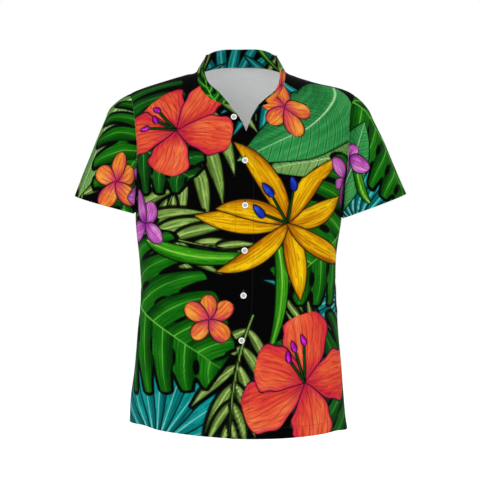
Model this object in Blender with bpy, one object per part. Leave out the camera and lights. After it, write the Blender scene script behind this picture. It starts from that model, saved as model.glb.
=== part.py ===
"""A short-sleeved tropical shirt, filled out and hollow, as its sewn pieces.

Frame: +Z up, the front faces -Y, +X is the wearer's left. The origin lies between the two
neck points, at the height of the shoulders, where the wearer holds the shirt up.
Tables and sizes are in millimetres, and meshes are in metres.
"""

from collections import namedtuple
from math import pi

import bmesh
import bpy
import numpy as np
from mathutils import Matrix, Vector

MM = 0.001

# ---- cloth -------------------------------------------------------------------------------
WALL = 1.5  # thickness of a cloth wall
SEAM = 0.3  # gap between two pieces at a seam
LAP = 0.6  # gap between the two fronts where they lap

# ---- body --------------------------------------------------------------------------------
UNDERARM = -215.0  # height of the foot of the armhole
CHEST = -150.0  # the shoulders start to round in above this height
HEM_LEVEL = -700.0  # the level at which the hem's width is taken
ROUND = 2.3  # exponent of the body's oval sections
NECK_HALF = 87.5  # from the middle of the neck to a neck point
NECK_CENTRE = 2.0
BACK_NECK = 18.0  # height of the neckline at the middle of the back
NECK_SWEEP = 3.0  # exponent of its curve down to the neck points
FOLD_GIRTH = 165.0  # turns an angle round the body into a length, for the folds


def smooth(keys, values, key):
    """Values between the rows of a table, on a smooth curve through all of them."""
    slopes = np.gradient(values, keys)
    i = np.clip(np.searchsorted(keys, key) - 1, 0, len(keys) - 2)
    step = keys[i + 1] - keys[i]
    t = np.clip((key - keys[i]) / step, 0, 1)
    return (
        values[i] * (1 + 2 * t) * (1 - t) ** 2
        + values[i + 1] * t * t * (3 - 2 * t)
        + step * (slopes[i] * t * (1 - t) ** 2 - slopes[i + 1] * t * t * (1 - t))
    )


class Table:
    """Rows of numbers under named columns; the first column is the key."""

    def __init__(self, columns, *rows):
        self.columns = columns.split()
        self.rows = np.array(rows, float)

    def at(self, column, key):
        values = self.rows[:, self.columns.index(column)]
        return smooth(self.rows[:, 0], values, np.asarray(key, float))


# The body's oval sections, from the hem up. Above the underarm the width is that of the
# oval from which the armholes are cut.
BODY = Table(
    "height centre half_width front_depth back_depth",
    (-706, -3.5, 215.5, 129, 125),
    (-680, -4.5, 212.0, 128, 124),
    (-640, -5.5, 209.0, 126, 122),
    (-590, -4.5, 203.0, 123, 119),
    (-515, -4.0, 194.3, 119, 114),
    (-440, -2.6, 190.4, 119, 112),
    (-365, -4.6, 192.6, 124, 117),
    (-290, -3.0, 199.8, 129, 126),
    (-250, -0.5, 202.6, 129, 129),
    (-215, 2, 206.5, 126, 131),
    (-185, 4, 215.0, 121, 131),
    (-150, 6, 227.0, 112, 128),
    (-110, 6, 236.0, 101, 124),
    (-73, 5, 241.0, 91, 121),
    (-40, 4, 243.0, 84, 118),
    (0, 2, 244.0, 78, 117),
    (20, 2, 244.0, 75, 116),
)
# The hem's height, from the wearer's right side seam (-1) to the left one (1).
HEM = Table(
    "reach front back",
    (-1.00, -683.5, -683.5),
    (-0.86, -682.0, -686.5),
    (-0.72, -687.5, -691.5),
    (-0.50, -692.0, -696.5),
    (-0.28, -696.0, -700.5),
    (0.00, -700.0, -703.0),
    (0.30, -700.2, -702.0),
    (0.55, -698.8, -700.0),
    (0.77, -696.2, -698.0),
    (0.90, -694.0, -697.5),
    (1.00, -698.0, -698.0),
)
# The ridge of the shoulders, from the middle of the neck out.
SHOULDER = Table(
    "reach left right",
    (0, 42.0, 42.0),
    (30, 37.3, 37.3),
    (60, 23.9, 23.9),
    (80, 8.8, 8.8),
    (87.5, 0.0, 0.0),
    (106, -9.0, -5.5),
    (130, -17.0, -12.5),
    (153, -23.5, -19.5),
    (177, -28.5, -27.0),
    (200, -34.5, -35.0),
    (212, -39.5, -40.0),
    (224, -47.0, -47.0),
    (236, -56.5, -56.5),
    (250, -70.0, -70.0),
)
# The armholes, from the underarm (0) to the shoulder tip (1).
ARMHOLE = Table(
    "rise reach_left reach_right",
    (0.00, 206.5, 206.5),
    (0.15, 204.0, 203.5),
    (0.35, 204.5, 203.0),
    (0.55, 206.0, 204.5),
    (0.75, 209.5, 207.5),
    (0.90, 216.0, 212.5),
    (1.00, 224.0, 217.0),
)
# The front edges, from the hem up: the line of the buttons, and the edges of the front that
# laps over (wearer's left) and of the front that lies under (wearer's right).
FRONT_EDGE = Table(
    "height buttons over under",
    (-706, -3.0, -20.0, 14.0),
    (-600, 0.5, -16.5, 17.5),
    (-518, 3.0, -14.0, 20.0),
    (-436, 6.5, -10.5, 23.5),
    (-349, 8.5, -8.5, 25.5),
    (-265, 9.5, -7.5, 26.5),
    (-200, 9.5, -7.5, 26.5),
    (-175, 9.5, -5.0, 23.0),
    (-150, 9.5, 3.0, 17.5),
    (-126, 9.5, 12.0, 11.5),
    (-110, 9.5, 17.5, 4.5),
    (-95, 9.5, 23.5, -4.0),
    (-75, 9.5, 34.0, -20.0),
)
LAP_TOP = -118.0  # the fronts part above this height
LAP_PART = 40.0  # height over which they come level with each other above it
LAP_INSIDE = 8.0  # width of the under front, inside the lap, that also lies back
LAP_BLEND = 45.0  # width over which it comes forward again beyond that
NECK_END_LEFT, NECK_END_RIGHT = -76.0, -73.0  # height at which each neckline ends in front

# The largest folds: where each lies round the body (0 at the middle of the front, 90 at the
# wearer's left side seam), its tilt from upright, and its half length, half width and height.
Fold = namedtuple("Fold", "around height tilt length width rise")
FOLDS = (
    Fold(-84, -505, 24, 95, 34, 3.2),
    Fold(-62, -575, -12, 110, 36, -2.6),
    Fold(-38, -640, 8, 90, 38, 2.8),
    Fold(82, -540, -20, 100, 36, 3.0),
    Fold(58, -620, 10, 105, 38, -2.4),
    Fold(30, -650, -6, 80, 40, 2.4),
    Fold(74, -330, -38, 80, 32, 2.6),
    Fold(-74, -330, 36, 85, 32, 2.4),
    Fold(118, -560, 14, 120, 40, 3.4),
    Fold(150, -610, -8, 120, 44, -3.0),
    Fold(-150, -600, 10, 125, 44, 3.2),
    Fold(-116, -545, -16, 110, 40, -2.8),
    Fold(180, -430, 0, 130, 55, -3.0),
)

# ---- sleeves -----------------------------------------------------------------------------
# The top line and the underarm line of each sleeve, seen from the front, from the armhole
# (0) to the hem (1), the half depth of the tube from front to back, and how much lower its
# front hangs than its top and underarm lines.
SLEEVE_LEFT = Table(
    "along top_reach top_height under_reach under_height half_depth front_drop",
    (0.00, 226, -49, 209.0, -215, 66, 0.0),
    (0.09, 241, -62, 208.4, -221, 67, 0.0),
    (0.18, 253, -78, 207.2, -227, 68, 0.2),
    (0.30, 265, -102, 205.8, -236, 69, 0.5),
    (0.45, 280, -132, 204.3, -247, 69, 1.0),
    (0.62, 295, -167, 202.8, -259, 68, 1.3),
    (0.80, 310, -203, 201.4, -272, 67, 1.9),
    (1.00, 326, -239, 199.8, -286, 68, 2.5),
)
SLEEVE_RIGHT = Table(
    "along top_reach top_height under_reach under_height half_depth front_drop",
    (0.00, 221, -44, 205.5, -215, 65, 0.0),
    (0.09, 241, -56, 205.4, -220, 66, 0.2),
    (0.18, 257, -72, 205.1, -225, 67, 0.5),
    (0.30, 268, -97, 204.9, -232, 68, 1.0),
    (0.45, 280, -128, 204.9, -241, 68, 1.5),
    (0.62, 294, -165, 205.0, -252, 67, 2.2),
    (0.80, 309, -203, 205.1, -263, 66, 3.0),
    (1.00, 324, -243, 205.4, -276, 66, 3.8),
)
SLEEVE_ROUND = 2.2  # exponent of the sleeve's oval sections
SLEEVE_BACK_SHIFT = 5.0  # the tube's middle lies this far behind the shoulder seam
UNDERARM_ROOM = 0.6  # the sleeve's underarm stands this far off the body's side
UNDERARM_SHARE = 0.4  # of the armhole's height, from its foot up, over which that fades out

# ---- collar ------------------------------------------------------------------------------
# How the band rises from the neckline, from its right end (-1) over the back (0) to its left
# end (1): towards the middle of the neck, towards the back, and up.
COLLAR = Table(
    "station inward back up",
    (-1.00, -27.0, 9.0, 33.0),
    (-0.85, -8.0, 5.0, 37.0),
    (-0.70, 9.0, 2.0, 38.0),
    (-0.50, 20.5, 0.0, 34.2),
    (-0.38, 17.0, -5.0, 33.0),
    (-0.25, 10.0, -9.0, 33.2),
    (0.00, 0.0, -13.0, 32.6),
    (0.25, 10.0, -9.0, 33.5),
    (0.38, 16.5, -5.0, 32.3),
    (0.50, 18.5, 0.0, 33.0),
    (0.70, 8.0, 2.0, 36.5),
    (0.85, -8.0, 5.0, 32.0),
    (1.00, -25.0, 9.0, 25.0),
)
COLLAR_CORNER = 16.0  # radius of its two round front corners

# ---- buttons -----------------------------------------------------------------------------
# The fastened ones are on the front that laps over, and the open one is on the front that lies
# under it.
BUTTON_HEIGHTS = (-182.5, -266.0, -350.0, -434.0, -518.0)
OPEN_BUTTON = (-11.5, -99.0)  # x and height
BUTTON_RADIUS = 5.7
BUTTON_THICK = 2.6
BUTTON_RIM = 1.3  # width of the raised rim
BUTTON_WELL = 0.7  # depth of the dish inside the rim
BUTTON_EDGE = 0.6  # rounding of the rim's outer edge
BUTTON_HOLE = 0.75  # radius of a hole
BUTTON_PITCH = 1.5  # from the button's middle to a hole along X and along Y
BUTTON_SEAT = 0.3  # gap under a button

# ---- mesh density ------------------------------------------------------------------------
ROWS_SKIRT, ROWS_ARMPIT, ROWS_CHEST = 19, 5, 10  # below, beside and above the armhole's foot
COLUMNS_NECK, COLUMNS_SHOULDER = 8, 7  # of one front, and of half the back
NECK_CROWDING = 1.4  # a front's columns crowd towards the neck point by this power
ROWS_SLEEVE, ROWS_COLLAR = 10, 4
BUTTON_SIDES, HOLE_SIDES = 20, 6
PROBE = 0.8  # step to each side over which a slope is measured
CURVE_STEPS = 400  # steps over which a neckline's length is measured
SHARP = 40.0  # degrees between faces above which an edge is drawn sharp

PRINT_GREEN = (0.03, 0.14, 0.04, 1.0)
PRINT_DARK = (0.02, 0.06, 0.03, 1.0)
PRINT_TEAL = (0.01, 0.20, 0.18, 1.0)
BUTTON_WHITE = (0.85, 0.85, 0.82, 1.0)


def signed_power(value, exponent):
    return np.sign(value) * np.abs(value) ** exponent


def ease(t):
    """0 to 1 with level ends."""
    t = np.clip(t, 0, 1)
    return t * t * (3 - 2 * t)


def shoulder_height(x):
    reach = np.abs(x - NECK_CENTRE)
    left, right = SHOULDER.at("left", reach), SHOULDER.at("right", reach)
    return np.where(x > NECK_CENTRE, left, right)


def fold_rise(x, y, z):
    """How far the folds push the cloth out at a point of the body."""
    around = np.degrees(np.arctan2(x, -y))
    rise = np.zeros_like(x)
    for fold in FOLDS:
        turn = (around - fold.around + 180) % 360 - 180
        sideways = np.radians(turn) * FOLD_GIRTH
        tilt = np.radians(fold.tilt)
        across = sideways * np.cos(tilt) + (z - fold.height) * np.sin(tilt)
        along = (z - fold.height) * np.cos(tilt) - sideways * np.sin(tilt)
        rise += fold.rise * np.exp(-((across / fold.width) ** 2) - (along / fold.length) ** 2)
    return rise


def body_surface(x, z, side):
    """Points of the body's outer surface over x and z; side is -1 for front, 1 for back."""
    x, z = np.broadcast_arrays(np.asarray(x, float), np.asarray(z, float))
    centre = BODY.at("centre", z)
    half = BODY.at("half_width", z)
    depth = BODY.at("front_depth" if side < 0 else "back_depth", z)
    ratio = np.clip(np.abs(x - centre) / half, 0, 1)
    section = (1 - ratio**ROUND) ** (1 / ROUND)
    ridge = shoulder_height(x)
    drop = np.clip((ridge - z) / (ridge - CHEST), 0, 1)
    crown = np.sqrt(1 - (1 - drop) ** 2)
    y = side * depth * section * crown
    grow = 1 + fold_rise(x - centre, y, z) / half
    return np.stack([centre + (x - centre) * grow, y * grow + side * SEAM / 2, z], axis=-1)


def armhole_reach(z, hand):
    """Distance of the armhole from the body's middle; hand is 1 for the wearer's left."""
    column = "reach_left" if hand > 0 else "reach_right"
    tip = shoulder_tip(hand)[1]
    return ARMHOLE.at(column, (z - UNDERARM) / (tip - UNDERARM))


def shoulder_tip(hand):
    """x and height of the top of the armhole."""
    reach = ARMHOLE.rows[-1, 1 if hand > 0 else 2]
    x = NECK_CENTRE + hand * reach
    return x, float(shoulder_height(x))


def outer_edge(z, hand):
    """x of the side seam, and of the armhole above it."""
    centre = BODY.at("centre", z)
    reach = np.where(z <= UNDERARM, BODY.at("half_width", z), armhole_reach(z, hand))
    tip_x, tip_z = shoulder_tip(hand)
    follow = ease((z - UNDERARM) / (tip_z - UNDERARM))
    return centre + hand * reach + (NECK_CENTRE - centre) * follow


def hem_height(x, side):
    """Height of the hem below a point."""
    reach = (x - BODY.at("centre", HEM_LEVEL)) / BODY.at("half_width", HEM_LEVEL)
    return HEM.at("front" if side < 0 else "back", reach)


def rows_of(column_x, top_z, side):
    """Heights down to the hem for columns that end at top_z, and how far each row is up."""
    hem = hem_height(column_x, side)
    skirt = np.linspace(0, 1, ROWS_SKIRT + 1)[:, None]
    armpit = np.linspace(0, 1, ROWS_ARMPIT + 1)[1:, None]
    chest = np.linspace(0, 1, ROWS_CHEST + 1)[1:, None]
    z = np.concatenate(
        [
            hem + (UNDERARM - hem) * skirt,
            UNDERARM + (CHEST - UNDERARM) * (1 - np.cos(armpit * pi / 2)) + 0 * hem,
            CHEST + (top_z - CHEST) * np.sin(chest * pi / 2),
        ]
    )
    above = ROWS_ARMPIT + ROWS_CHEST
    steps = np.arange(-ROWS_SKIRT, above + 1)[:, None]
    return z, ease(steps / above)


def column_x(inner, outer, share, centre, half, hand):
    """x at a share of the way round from an inner edge to an outer edge of the oval."""
    start = np.arcsin(np.clip(signed_power(hand * (inner - centre) / half, ROUND / 2), -1, 1))
    end = np.arcsin(np.clip(signed_power(hand * (outer - centre) / half, ROUND / 2), -1, 1))
    angle = start + (end - start) * share
    return centre + hand * half * signed_power(np.sin(angle), 2 / ROUND)


def shoulder_line(hand):
    """x of the shoulder seam's points, from the neck point to the shoulder tip."""
    neck = NECK_CENTRE + hand * NECK_HALF
    return np.linspace(neck, shoulder_tip(hand)[0], COLUMNS_SHOULDER + 1)


def step_along(curve, low, high, shares, side):
    """x and height of points at shares of the length of a curve that lies on the body."""
    fine = np.linspace(low, high, CURVE_STEPS)
    points = body_surface(*curve(fine), side)
    run = np.concatenate([[0], np.cumsum(np.linalg.norm(np.diff(points, axis=0), axis=1))])
    return curve(np.interp(shares * run[-1], run, fine))


def front_neckline(hand):
    """x and height of the neckline, from the front edge round to the neck point."""
    end_z = NECK_END_LEFT if hand > 0 else NECK_END_RIGHT
    end_x = float(FRONT_EDGE.at("over" if hand > 0 else "under", end_z))
    neck_x = NECK_CENTRE + hand * NECK_HALF

    def curve(angle):
        return end_x + (neck_x - end_x) * np.sin(angle), end_z * np.cos(angle)

    shares = 1 - np.linspace(1, 0, COLUMNS_NECK + 1) ** NECK_CROWDING
    return step_along(curve, 0, pi / 2, shares, -1)


def back_neckline():
    """x and height of the neckline over the back, from the right neck point to the left."""

    def curve(angle):
        height = BACK_NECK * (1 - np.abs(np.sin(angle)) ** NECK_SWEEP)
        return NECK_CENTRE + NECK_HALF * np.sin(angle), height

    shares = np.linspace(0, 1, 2 * COLUMNS_NECK + 1)
    return step_along(curve, -pi / 2, pi / 2, shares, 1)


def front_grid(hand):
    """Outer points and normals of one front: rows from the hem up, columns from its edge out."""
    neck_x, neck_z = front_neckline(hand)
    line_x = shoulder_line(hand)[1:]
    top_x = np.concatenate([neck_x, line_x])
    top_z = np.concatenate([neck_z, shoulder_height(line_x)])
    edge = "over" if hand > 0 else "under"
    share = np.linspace(0, 1, len(top_x))

    def sweep(z):
        centre, half = BODY.at("centre", z), BODY.at("half_width", z)
        return column_x(FRONT_EDGE.at(edge, z), outer_edge(z, hand), share, centre, half, hand)

    hem_x = sweep(np.full_like(share, HEM_LEVEL))
    z, up = rows_of(hem_x, top_z, -1)
    x = sweep(z) + (top_x - sweep(top_z)) * up
    grid = body_surface(x, z, -1)
    if hand < 0:
        # the front that lies under steps back behind the one that laps over it
        near = 1 - ease((FRONT_EDGE.at("over", z) - LAP_INSIDE - x) / LAP_BLEND)
        low = 1 - ease((z - LAP_TOP) / LAP_PART)
        grid[..., 1] += (WALL + LAP) * near * low
    return grid, front_normals(x, z)


def back_grid():
    """Outer points and normals of the back: rows from the hem up, columns from right to left."""
    neck_x, neck_z = back_neckline()
    right_x, left_x = shoulder_line(-1)[:0:-1], shoulder_line(1)[1:]
    top_x = np.concatenate([right_x, neck_x, left_x])
    top_z = np.concatenate([shoulder_height(right_x), neck_z, shoulder_height(left_x)])
    count = len(top_x)
    half_count = count // 2
    share = np.abs(np.linspace(-1, 1, count))
    hand = np.where(np.arange(count) < half_count, -1.0, 1.0)

    def sweep(z):
        centre, half = BODY.at("centre", z), BODY.at("half_width", z)
        outer = np.where(hand > 0, outer_edge(z, 1), outer_edge(z, -1))
        return column_x(centre, outer, share, centre, half, hand)

    hem_x = sweep(np.full_like(share, HEM_LEVEL))
    z, up = rows_of(hem_x, top_z, 1)
    x = sweep(z) + (top_x - sweep(top_z)) * up
    return body_surface(x, z, 1), back_normals(x, z)


def grid_normals(grid, closed=False):
    """Unit normals of a grid of points; closed joins its last column to its first."""
    if closed:
        wrapped = np.concatenate([grid[:, -1:], grid, grid[:, :1]], axis=1)
        across = (wrapped[:, 2:] - wrapped[:, :-2]) / 2
    else:
        across = np.gradient(grid, axis=1)
    normals = np.cross(across, np.gradient(grid, axis=0))
    return normals / np.linalg.norm(normals, axis=-1, keepdims=True)


def body_normals(x, z, side):
    """Unit normals of the body's surface over x and z."""
    ridge = shoulder_height(x)
    centre = BODY.at("centre", z)
    half = BODY.at("half_width", z)
    far = np.minimum(np.abs(x - centre) + PROBE, half) - np.abs(x - centre)
    outward = np.where(x < centre, -1, 1)
    top = np.minimum(z + PROBE, ridge)
    across = body_surface(x + outward * far, z, side) - body_surface(x - outward * PROBE, z, side)
    across *= outward[..., None]
    upward = body_surface(x, top, side) - body_surface(x, z - PROBE, side)
    normals = -side * np.cross(across, upward)
    return normals / np.linalg.norm(normals, axis=-1, keepdims=True)


def level_seams(normals, rows, columns):
    """Turns the normals along seams that lie in the plane between front and back."""
    normals[rows, columns, 1] = 0
    length = np.linalg.norm(normals[rows, columns], axis=-1, keepdims=True)
    normals[rows, columns] /= length


def front_normals(x, z):
    normals = body_normals(x, z, -1)
    side = ROWS_SKIRT + 1
    level_seams(normals, slice(0, side), -1)
    level_seams(normals, -1, slice(COLUMNS_NECK, None))
    return normals


def back_normals(x, z):
    normals = body_normals(x, z, 1)
    side = ROWS_SKIRT + 1
    level_seams(normals, slice(0, side), 0)
    level_seams(normals, slice(0, side), -1)
    level_seams(normals, -1, slice(0, COLUMNS_SHOULDER + 1))
    level_seams(normals, -1, slice(-COLUMNS_SHOULDER - 1, None))
    return normals


def around_armhole(front, back, hand):
    """One ring of points or normals: the underarm, up the front, and down the back."""
    start = ROWS_SKIRT
    back_column = back[start:, -1 if hand > 0 else 0]
    return np.concatenate([front[start:, -1], back_column[-2:0:-1]])


def sleeve_grid(hand, armhole, armhole_normals):
    """Outer points and normals of a sleeve: rings from the armhole to the hem."""
    table = SLEEVE_LEFT if hand > 0 else SLEEVE_RIGHT
    count = len(armhole)
    low, high = armhole[0, 2], armhole[:, 2].max()
    height = np.clip((armhole[:, 2] - (low + high) / 2) / ((high - low) / 2), -1, 1)
    top = count // 2
    turn = np.arccos(-height)
    turn[top + 1 :] = 2 * pi - turn[top + 1 :]
    even = np.linspace(0, 2 * pi, count, endpoint=False)

    def ring(along):
        phase = turn + (even - turn) * ease(along)
        over = np.array([hand * table.at("top_reach", along), table.at("top_height", along)])
        under = np.array([hand * table.at("under_reach", along), table.at("under_height", along)])
        middle, arm = (over + under) / 2, (over - under) / 2
        rise = -signed_power(np.cos(phase), 2 / SLEEVE_ROUND)
        depth = signed_power(np.sin(phase), 2 / SLEEVE_ROUND) * table.at("half_depth", along)
        y = SLEEVE_BACK_SHIFT * (1 - along) - depth
        z = middle[1] + arm[1] * rise - table.at("front_drop", along) * np.sin(phase)
        return np.stack([middle[0] + arm[0] * rise, y, z], axis=-1)

    underarm = ease(1 - (height + 1) / (2 * UNDERARM_SHARE))
    first = armhole.copy()
    first[:, 0] += hand * (SEAM + UNDERARM_ROOM * underarm)
    correction = first - ring(0.0)
    rings = []
    for along in np.linspace(0, 1, ROWS_SLEEVE + 1):
        rings.append(ring(along) + correction * (1 - along) ** 3)
    grid = np.array(rings)
    normals = -hand * grid_normals(grid, closed=True)
    keep = (1 - underarm)[:, None]
    normals[0] = armhole_normals * keep + normals[0] * (1 - keep)
    normals[0] /= np.linalg.norm(normals[0], axis=-1, keepdims=True)
    return grid, normals


def collar_grid(neckline):
    """Outer points of the collar: rows from the neckline up, columns from right to left."""
    lengths = np.linalg.norm(np.diff(neckline, axis=0), axis=1)
    run = np.concatenate([[0], np.cumsum(lengths)])
    station = 2 * run / run[-1] - 1
    inward = -np.sign(neckline[:, 0] - NECK_CENTRE) * COLLAR.at("inward", station)
    rise = np.stack([inward, COLLAR.at("back", station), COLLAR.at("up", station)], axis=-1)
    from_end = np.minimum(run, run[-1] - run)
    corner = 1 - np.clip(from_end / COLLAR_CORNER, 0, 1)
    height = np.linalg.norm(rise, axis=1)
    rounding = COLLAR_CORNER * (1 - np.sqrt(1 - corner**2)) / height
    foot = neckline + rise / height[:, None] * SEAM
    steps = np.linspace(0, 1, ROWS_COLLAR + 1)[:, None, None]
    return foot + rise * (1 - rounding[:, None]) * steps


def make_material(name, colour, roughness):
    material = bpy.data.materials.new(name)
    material.use_nodes = True
    shader = material.node_tree.nodes["Principled BSDF"]
    shader.inputs["Base Color"].default_value = colour
    shader.inputs["Roughness"].default_value = roughness
    shader.inputs["Metallic"].default_value = 0.0
    return material


def add_object(name, bm, colour, roughness):
    bmesh.ops.recalc_face_normals(bm, faces=bm.faces)
    if bm.calc_volume(signed=True) < 0:
        bmesh.ops.reverse_faces(bm, faces=bm.faces)
    mesh = bpy.data.meshes.new(name)
    bm.to_mesh(mesh)
    bm.free()
    mesh.shade_smooth()
    mesh.set_sharp_from_angle(angle=np.radians(SHARP))
    obj = bpy.data.objects.new(name, mesh)
    bpy.context.scene.collection.objects.link(obj)
    mesh.materials.append(make_material(name, colour, roughness))
    return obj


def cloth_wall(name, outer, normals, colour, closed=False):
    """A wall of cloth: a grid of outer points, the same moved in, and the rims between."""
    inner = outer - normals * WALL
    rows, columns = outer.shape[:2]
    bm = bmesh.new()
    faces = []
    for grid in (outer, inner):
        faces.append([[bm.verts.new(Vector(p * MM)) for p in row] for row in grid])
    span = columns if closed else columns - 1
    for i in range(rows - 1):
        for j in range(span):
            k = (j + 1) % columns
            for skin in faces:
                bm.faces.new((skin[i][j], skin[i][k], skin[i + 1][k], skin[i + 1][j]))
    out, into = faces
    for i in (0, rows - 1):
        for j in range(span):
            k = (j + 1) % columns
            bm.faces.new((out[i][j], out[i][k], into[i][k], into[i][j]))
    if not closed:
        for j in (0, columns - 1):
            for i in range(rows - 1):
                bm.faces.new((out[i][j], out[i + 1][j], into[i + 1][j], into[i][j]))
    return add_object(name, bm, colour, 0.85)


def button_blank():
    """A button before its holes are drilled: a dished disc with a raised, rounded rim."""
    dish = BUTTON_RADIUS - BUTTON_RIM
    top = BUTTON_THICK
    profile = (
        (0.0, 0.0),
        (BUTTON_RADIUS, 0.0),
        (BUTTON_RADIUS, top - BUTTON_EDGE),
        (BUTTON_RADIUS - BUTTON_EDGE, top),
        (dish, top),
        (dish - BUTTON_WELL, top - BUTTON_WELL),
        (0.0, top - BUTTON_WELL),
    )
    bm = bmesh.new()
    verts = [bm.verts.new((r * MM, 0, h * MM)) for r, h in profile]
    edges = [bm.edges.new(pair) for pair in zip(verts, verts[1:])]
    bmesh.ops.spin(
        bm, geom=verts + edges, axis=(0, 0, 1), angle=2 * pi, steps=BUTTON_SIDES, use_merge=True
    )
    bmesh.ops.remove_doubles(bm, verts=bm.verts, dist=1e-6)
    return add_object("button_blank", bm, BUTTON_WHITE, 0.25)


def drill():
    """The four pins that cut a button's holes."""
    bm = bmesh.new()
    for turn in range(4):
        place = Matrix.Rotation(turn * pi / 2, 4, "Z") @ Matrix.Translation(
            (BUTTON_PITCH * MM, BUTTON_PITCH * MM, BUTTON_THICK / 2 * MM)
        )
        bmesh.ops.create_cone(
            bm,
            cap_ends=True,
            segments=HOLE_SIDES,
            radius1=BUTTON_HOLE * MM,
            radius2=BUTTON_HOLE * MM,
            depth=2 * BUTTON_THICK * MM,
            matrix=place,
        )
    return add_object("drill", bm, BUTTON_WHITE, 0.25)


def button_mesh():
    """The finished button, dish up, its underside at height 0."""
    blank, cutter = button_blank(), drill()
    cut = blank.modifiers.new("holes", "BOOLEAN")
    cut.object = cutter
    cut.operation = "DIFFERENCE"
    cut.solver = "EXACT"
    bpy.context.view_layer.update()
    depsgraph = bpy.context.evaluated_depsgraph_get()
    mesh = bpy.data.meshes.new_from_object(blank.evaluated_get(depsgraph))
    for obj in (blank, cutter):
        bpy.data.objects.remove(obj)
    mesh.shade_smooth()
    mesh.set_sharp_from_angle(angle=np.radians(SHARP))
    return mesh


def place_button(name, mesh, x, z):
    """Seats a button on the front at x and z, square to the cloth under it."""
    sideways = np.array([0, 1, -1, 0, 0]) * BUTTON_RADIUS
    upward = np.array([0, 0, 0, 1, -1]) * BUTTON_RADIUS
    around = body_surface(x + sideways, z + upward, -1)
    outward = np.cross(around[1] - around[2], around[3] - around[4])
    outward /= np.linalg.norm(outward)
    seat = around[0] + outward * BUTTON_SEAT
    obj = bpy.data.objects.new(name, mesh.copy())
    bpy.context.scene.collection.objects.link(obj)
    obj.data.materials.clear()
    obj.data.materials.append(make_material(name, BUTTON_WHITE, 0.25))
    obj.location = Vector(seat * MM)
    obj.rotation_euler = Vector(outward).to_track_quat("Z", "Y").to_euler()
    return obj


def make_shirt():
    fronts = {hand: front_grid(hand) for hand in (1, -1)}
    back, back_out = back_grid()
    cloth_wall("front_left", *fronts[1], PRINT_GREEN)
    cloth_wall("front_right", *fronts[-1], PRINT_DARK)
    cloth_wall("back", back, back_out, PRINT_GREEN)
    for hand, name in ((1, "sleeve_left"), (-1, "sleeve_right")):
        loop = around_armhole(fronts[hand][0], back, hand)
        loop_out = around_armhole(fronts[hand][1], back_out, hand)
        sleeve, sleeve_out = sleeve_grid(hand, loop, loop_out)
        cloth_wall(name, sleeve, sleeve_out, PRINT_TEAL, closed=True)
    neck = slice(COLUMNS_SHOULDER, COLUMNS_SHOULDER + 2 * COLUMNS_NECK + 1)
    neckline = np.concatenate(
        [
            fronts[-1][0][-1, :COLUMNS_NECK],
            back[-1, neck],
            fronts[1][0][-1, COLUMNS_NECK - 1 :: -1],
        ]
    )
    collar = collar_grid(neckline)
    cloth_wall("collar", collar, -grid_normals(collar), PRINT_TEAL)
    mesh = button_mesh()
    place_button("button_1", mesh, *OPEN_BUTTON)
    for number, height in enumerate(BUTTON_HEIGHTS, 2):
        x = float(FRONT_EDGE.at("buttons", height))
        place_button(f"button_{number}", mesh, x, height)
    bpy.data.meshes.remove(mesh)


for old in list(bpy.data.objects):
    bpy.data.objects.remove(old)
make_shirt()
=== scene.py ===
"""The shirt's looks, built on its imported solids.

The tables and the body's surface are those of the part's source, in millimetres, in the same
frame: +Z up, the front faces -Y, +X is the wearer's left. Each piece of cloth is a thin shell
with finer rows and columns, its creases, its print and its stitching.
"""

from collections import namedtuple
from math import cos, pi, radians, sin

import bmesh
import bpy
import numpy as np
from mathutils import Matrix, Vector


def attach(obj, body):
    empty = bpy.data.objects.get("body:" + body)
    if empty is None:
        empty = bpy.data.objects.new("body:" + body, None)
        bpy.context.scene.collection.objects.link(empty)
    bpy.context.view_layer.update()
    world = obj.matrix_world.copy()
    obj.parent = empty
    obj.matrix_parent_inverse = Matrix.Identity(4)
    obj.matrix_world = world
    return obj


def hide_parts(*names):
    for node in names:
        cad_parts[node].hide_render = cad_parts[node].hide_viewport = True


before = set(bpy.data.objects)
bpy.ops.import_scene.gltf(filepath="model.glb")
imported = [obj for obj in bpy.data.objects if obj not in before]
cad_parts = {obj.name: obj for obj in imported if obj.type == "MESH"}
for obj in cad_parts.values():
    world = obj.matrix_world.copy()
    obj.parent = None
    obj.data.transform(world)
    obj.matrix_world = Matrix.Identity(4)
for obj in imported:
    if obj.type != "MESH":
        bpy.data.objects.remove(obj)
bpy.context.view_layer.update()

MM = 0.001

# ---- cloth -------------------------------------------------------------------------------
SHELL = 0.8  # thickness of the cloth, with its turned edges
ROLL = 0.3  # how far an edge is rounded out
COARSE = 3  # the wrong side has one row and column for so many of the right side
SEAM = 0.3  # gap between two pieces at a seam
LAP = 0.4  # gap between the two fronts where they lap
SEAM_DIP, SEAM_DIP_WIDTH = 0.7, 2.2  # how the cloth dips into a seam
TURN_DEPTH = 2.0  # how far under its neighbour a seam's turning lies
TURN_ROWS = 3  # rows of a seam's turning
TURN_SPAN = 9  # points on each side over which the collar's turning is evened
TURN_ROOM = 0.6  # the sleeve's turning stays this far outside the body's edge
HUG, HUG_CLEAR = 0.72, 2.5  # how far the sleeve's underarm lies in round the body's side
HUG_SLOPE = 0.45  # how far it drops at most where it lies in
HUG_START, HUG_RAMP = 0.2, 0.55  # below this share of the tube's half height, and over this more
HUG_ALONG = 0.12  # share of the sleeve over which it starts
HEM_STITCH, PLACKET_STITCH, COLLAR_STITCH = 20.0, 33.0, 4.0  # from an edge to its stitching
RIM_FADE = 12.0  # height over which the front edge's rim turns pale above the lap
ARM_GIRTH = 66.0  # turns an angle round a sleeve into a length
CREASE_START, CREASE_RAMP = 0.04, 0.16  # shares of a sleeve over which its creases start

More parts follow.
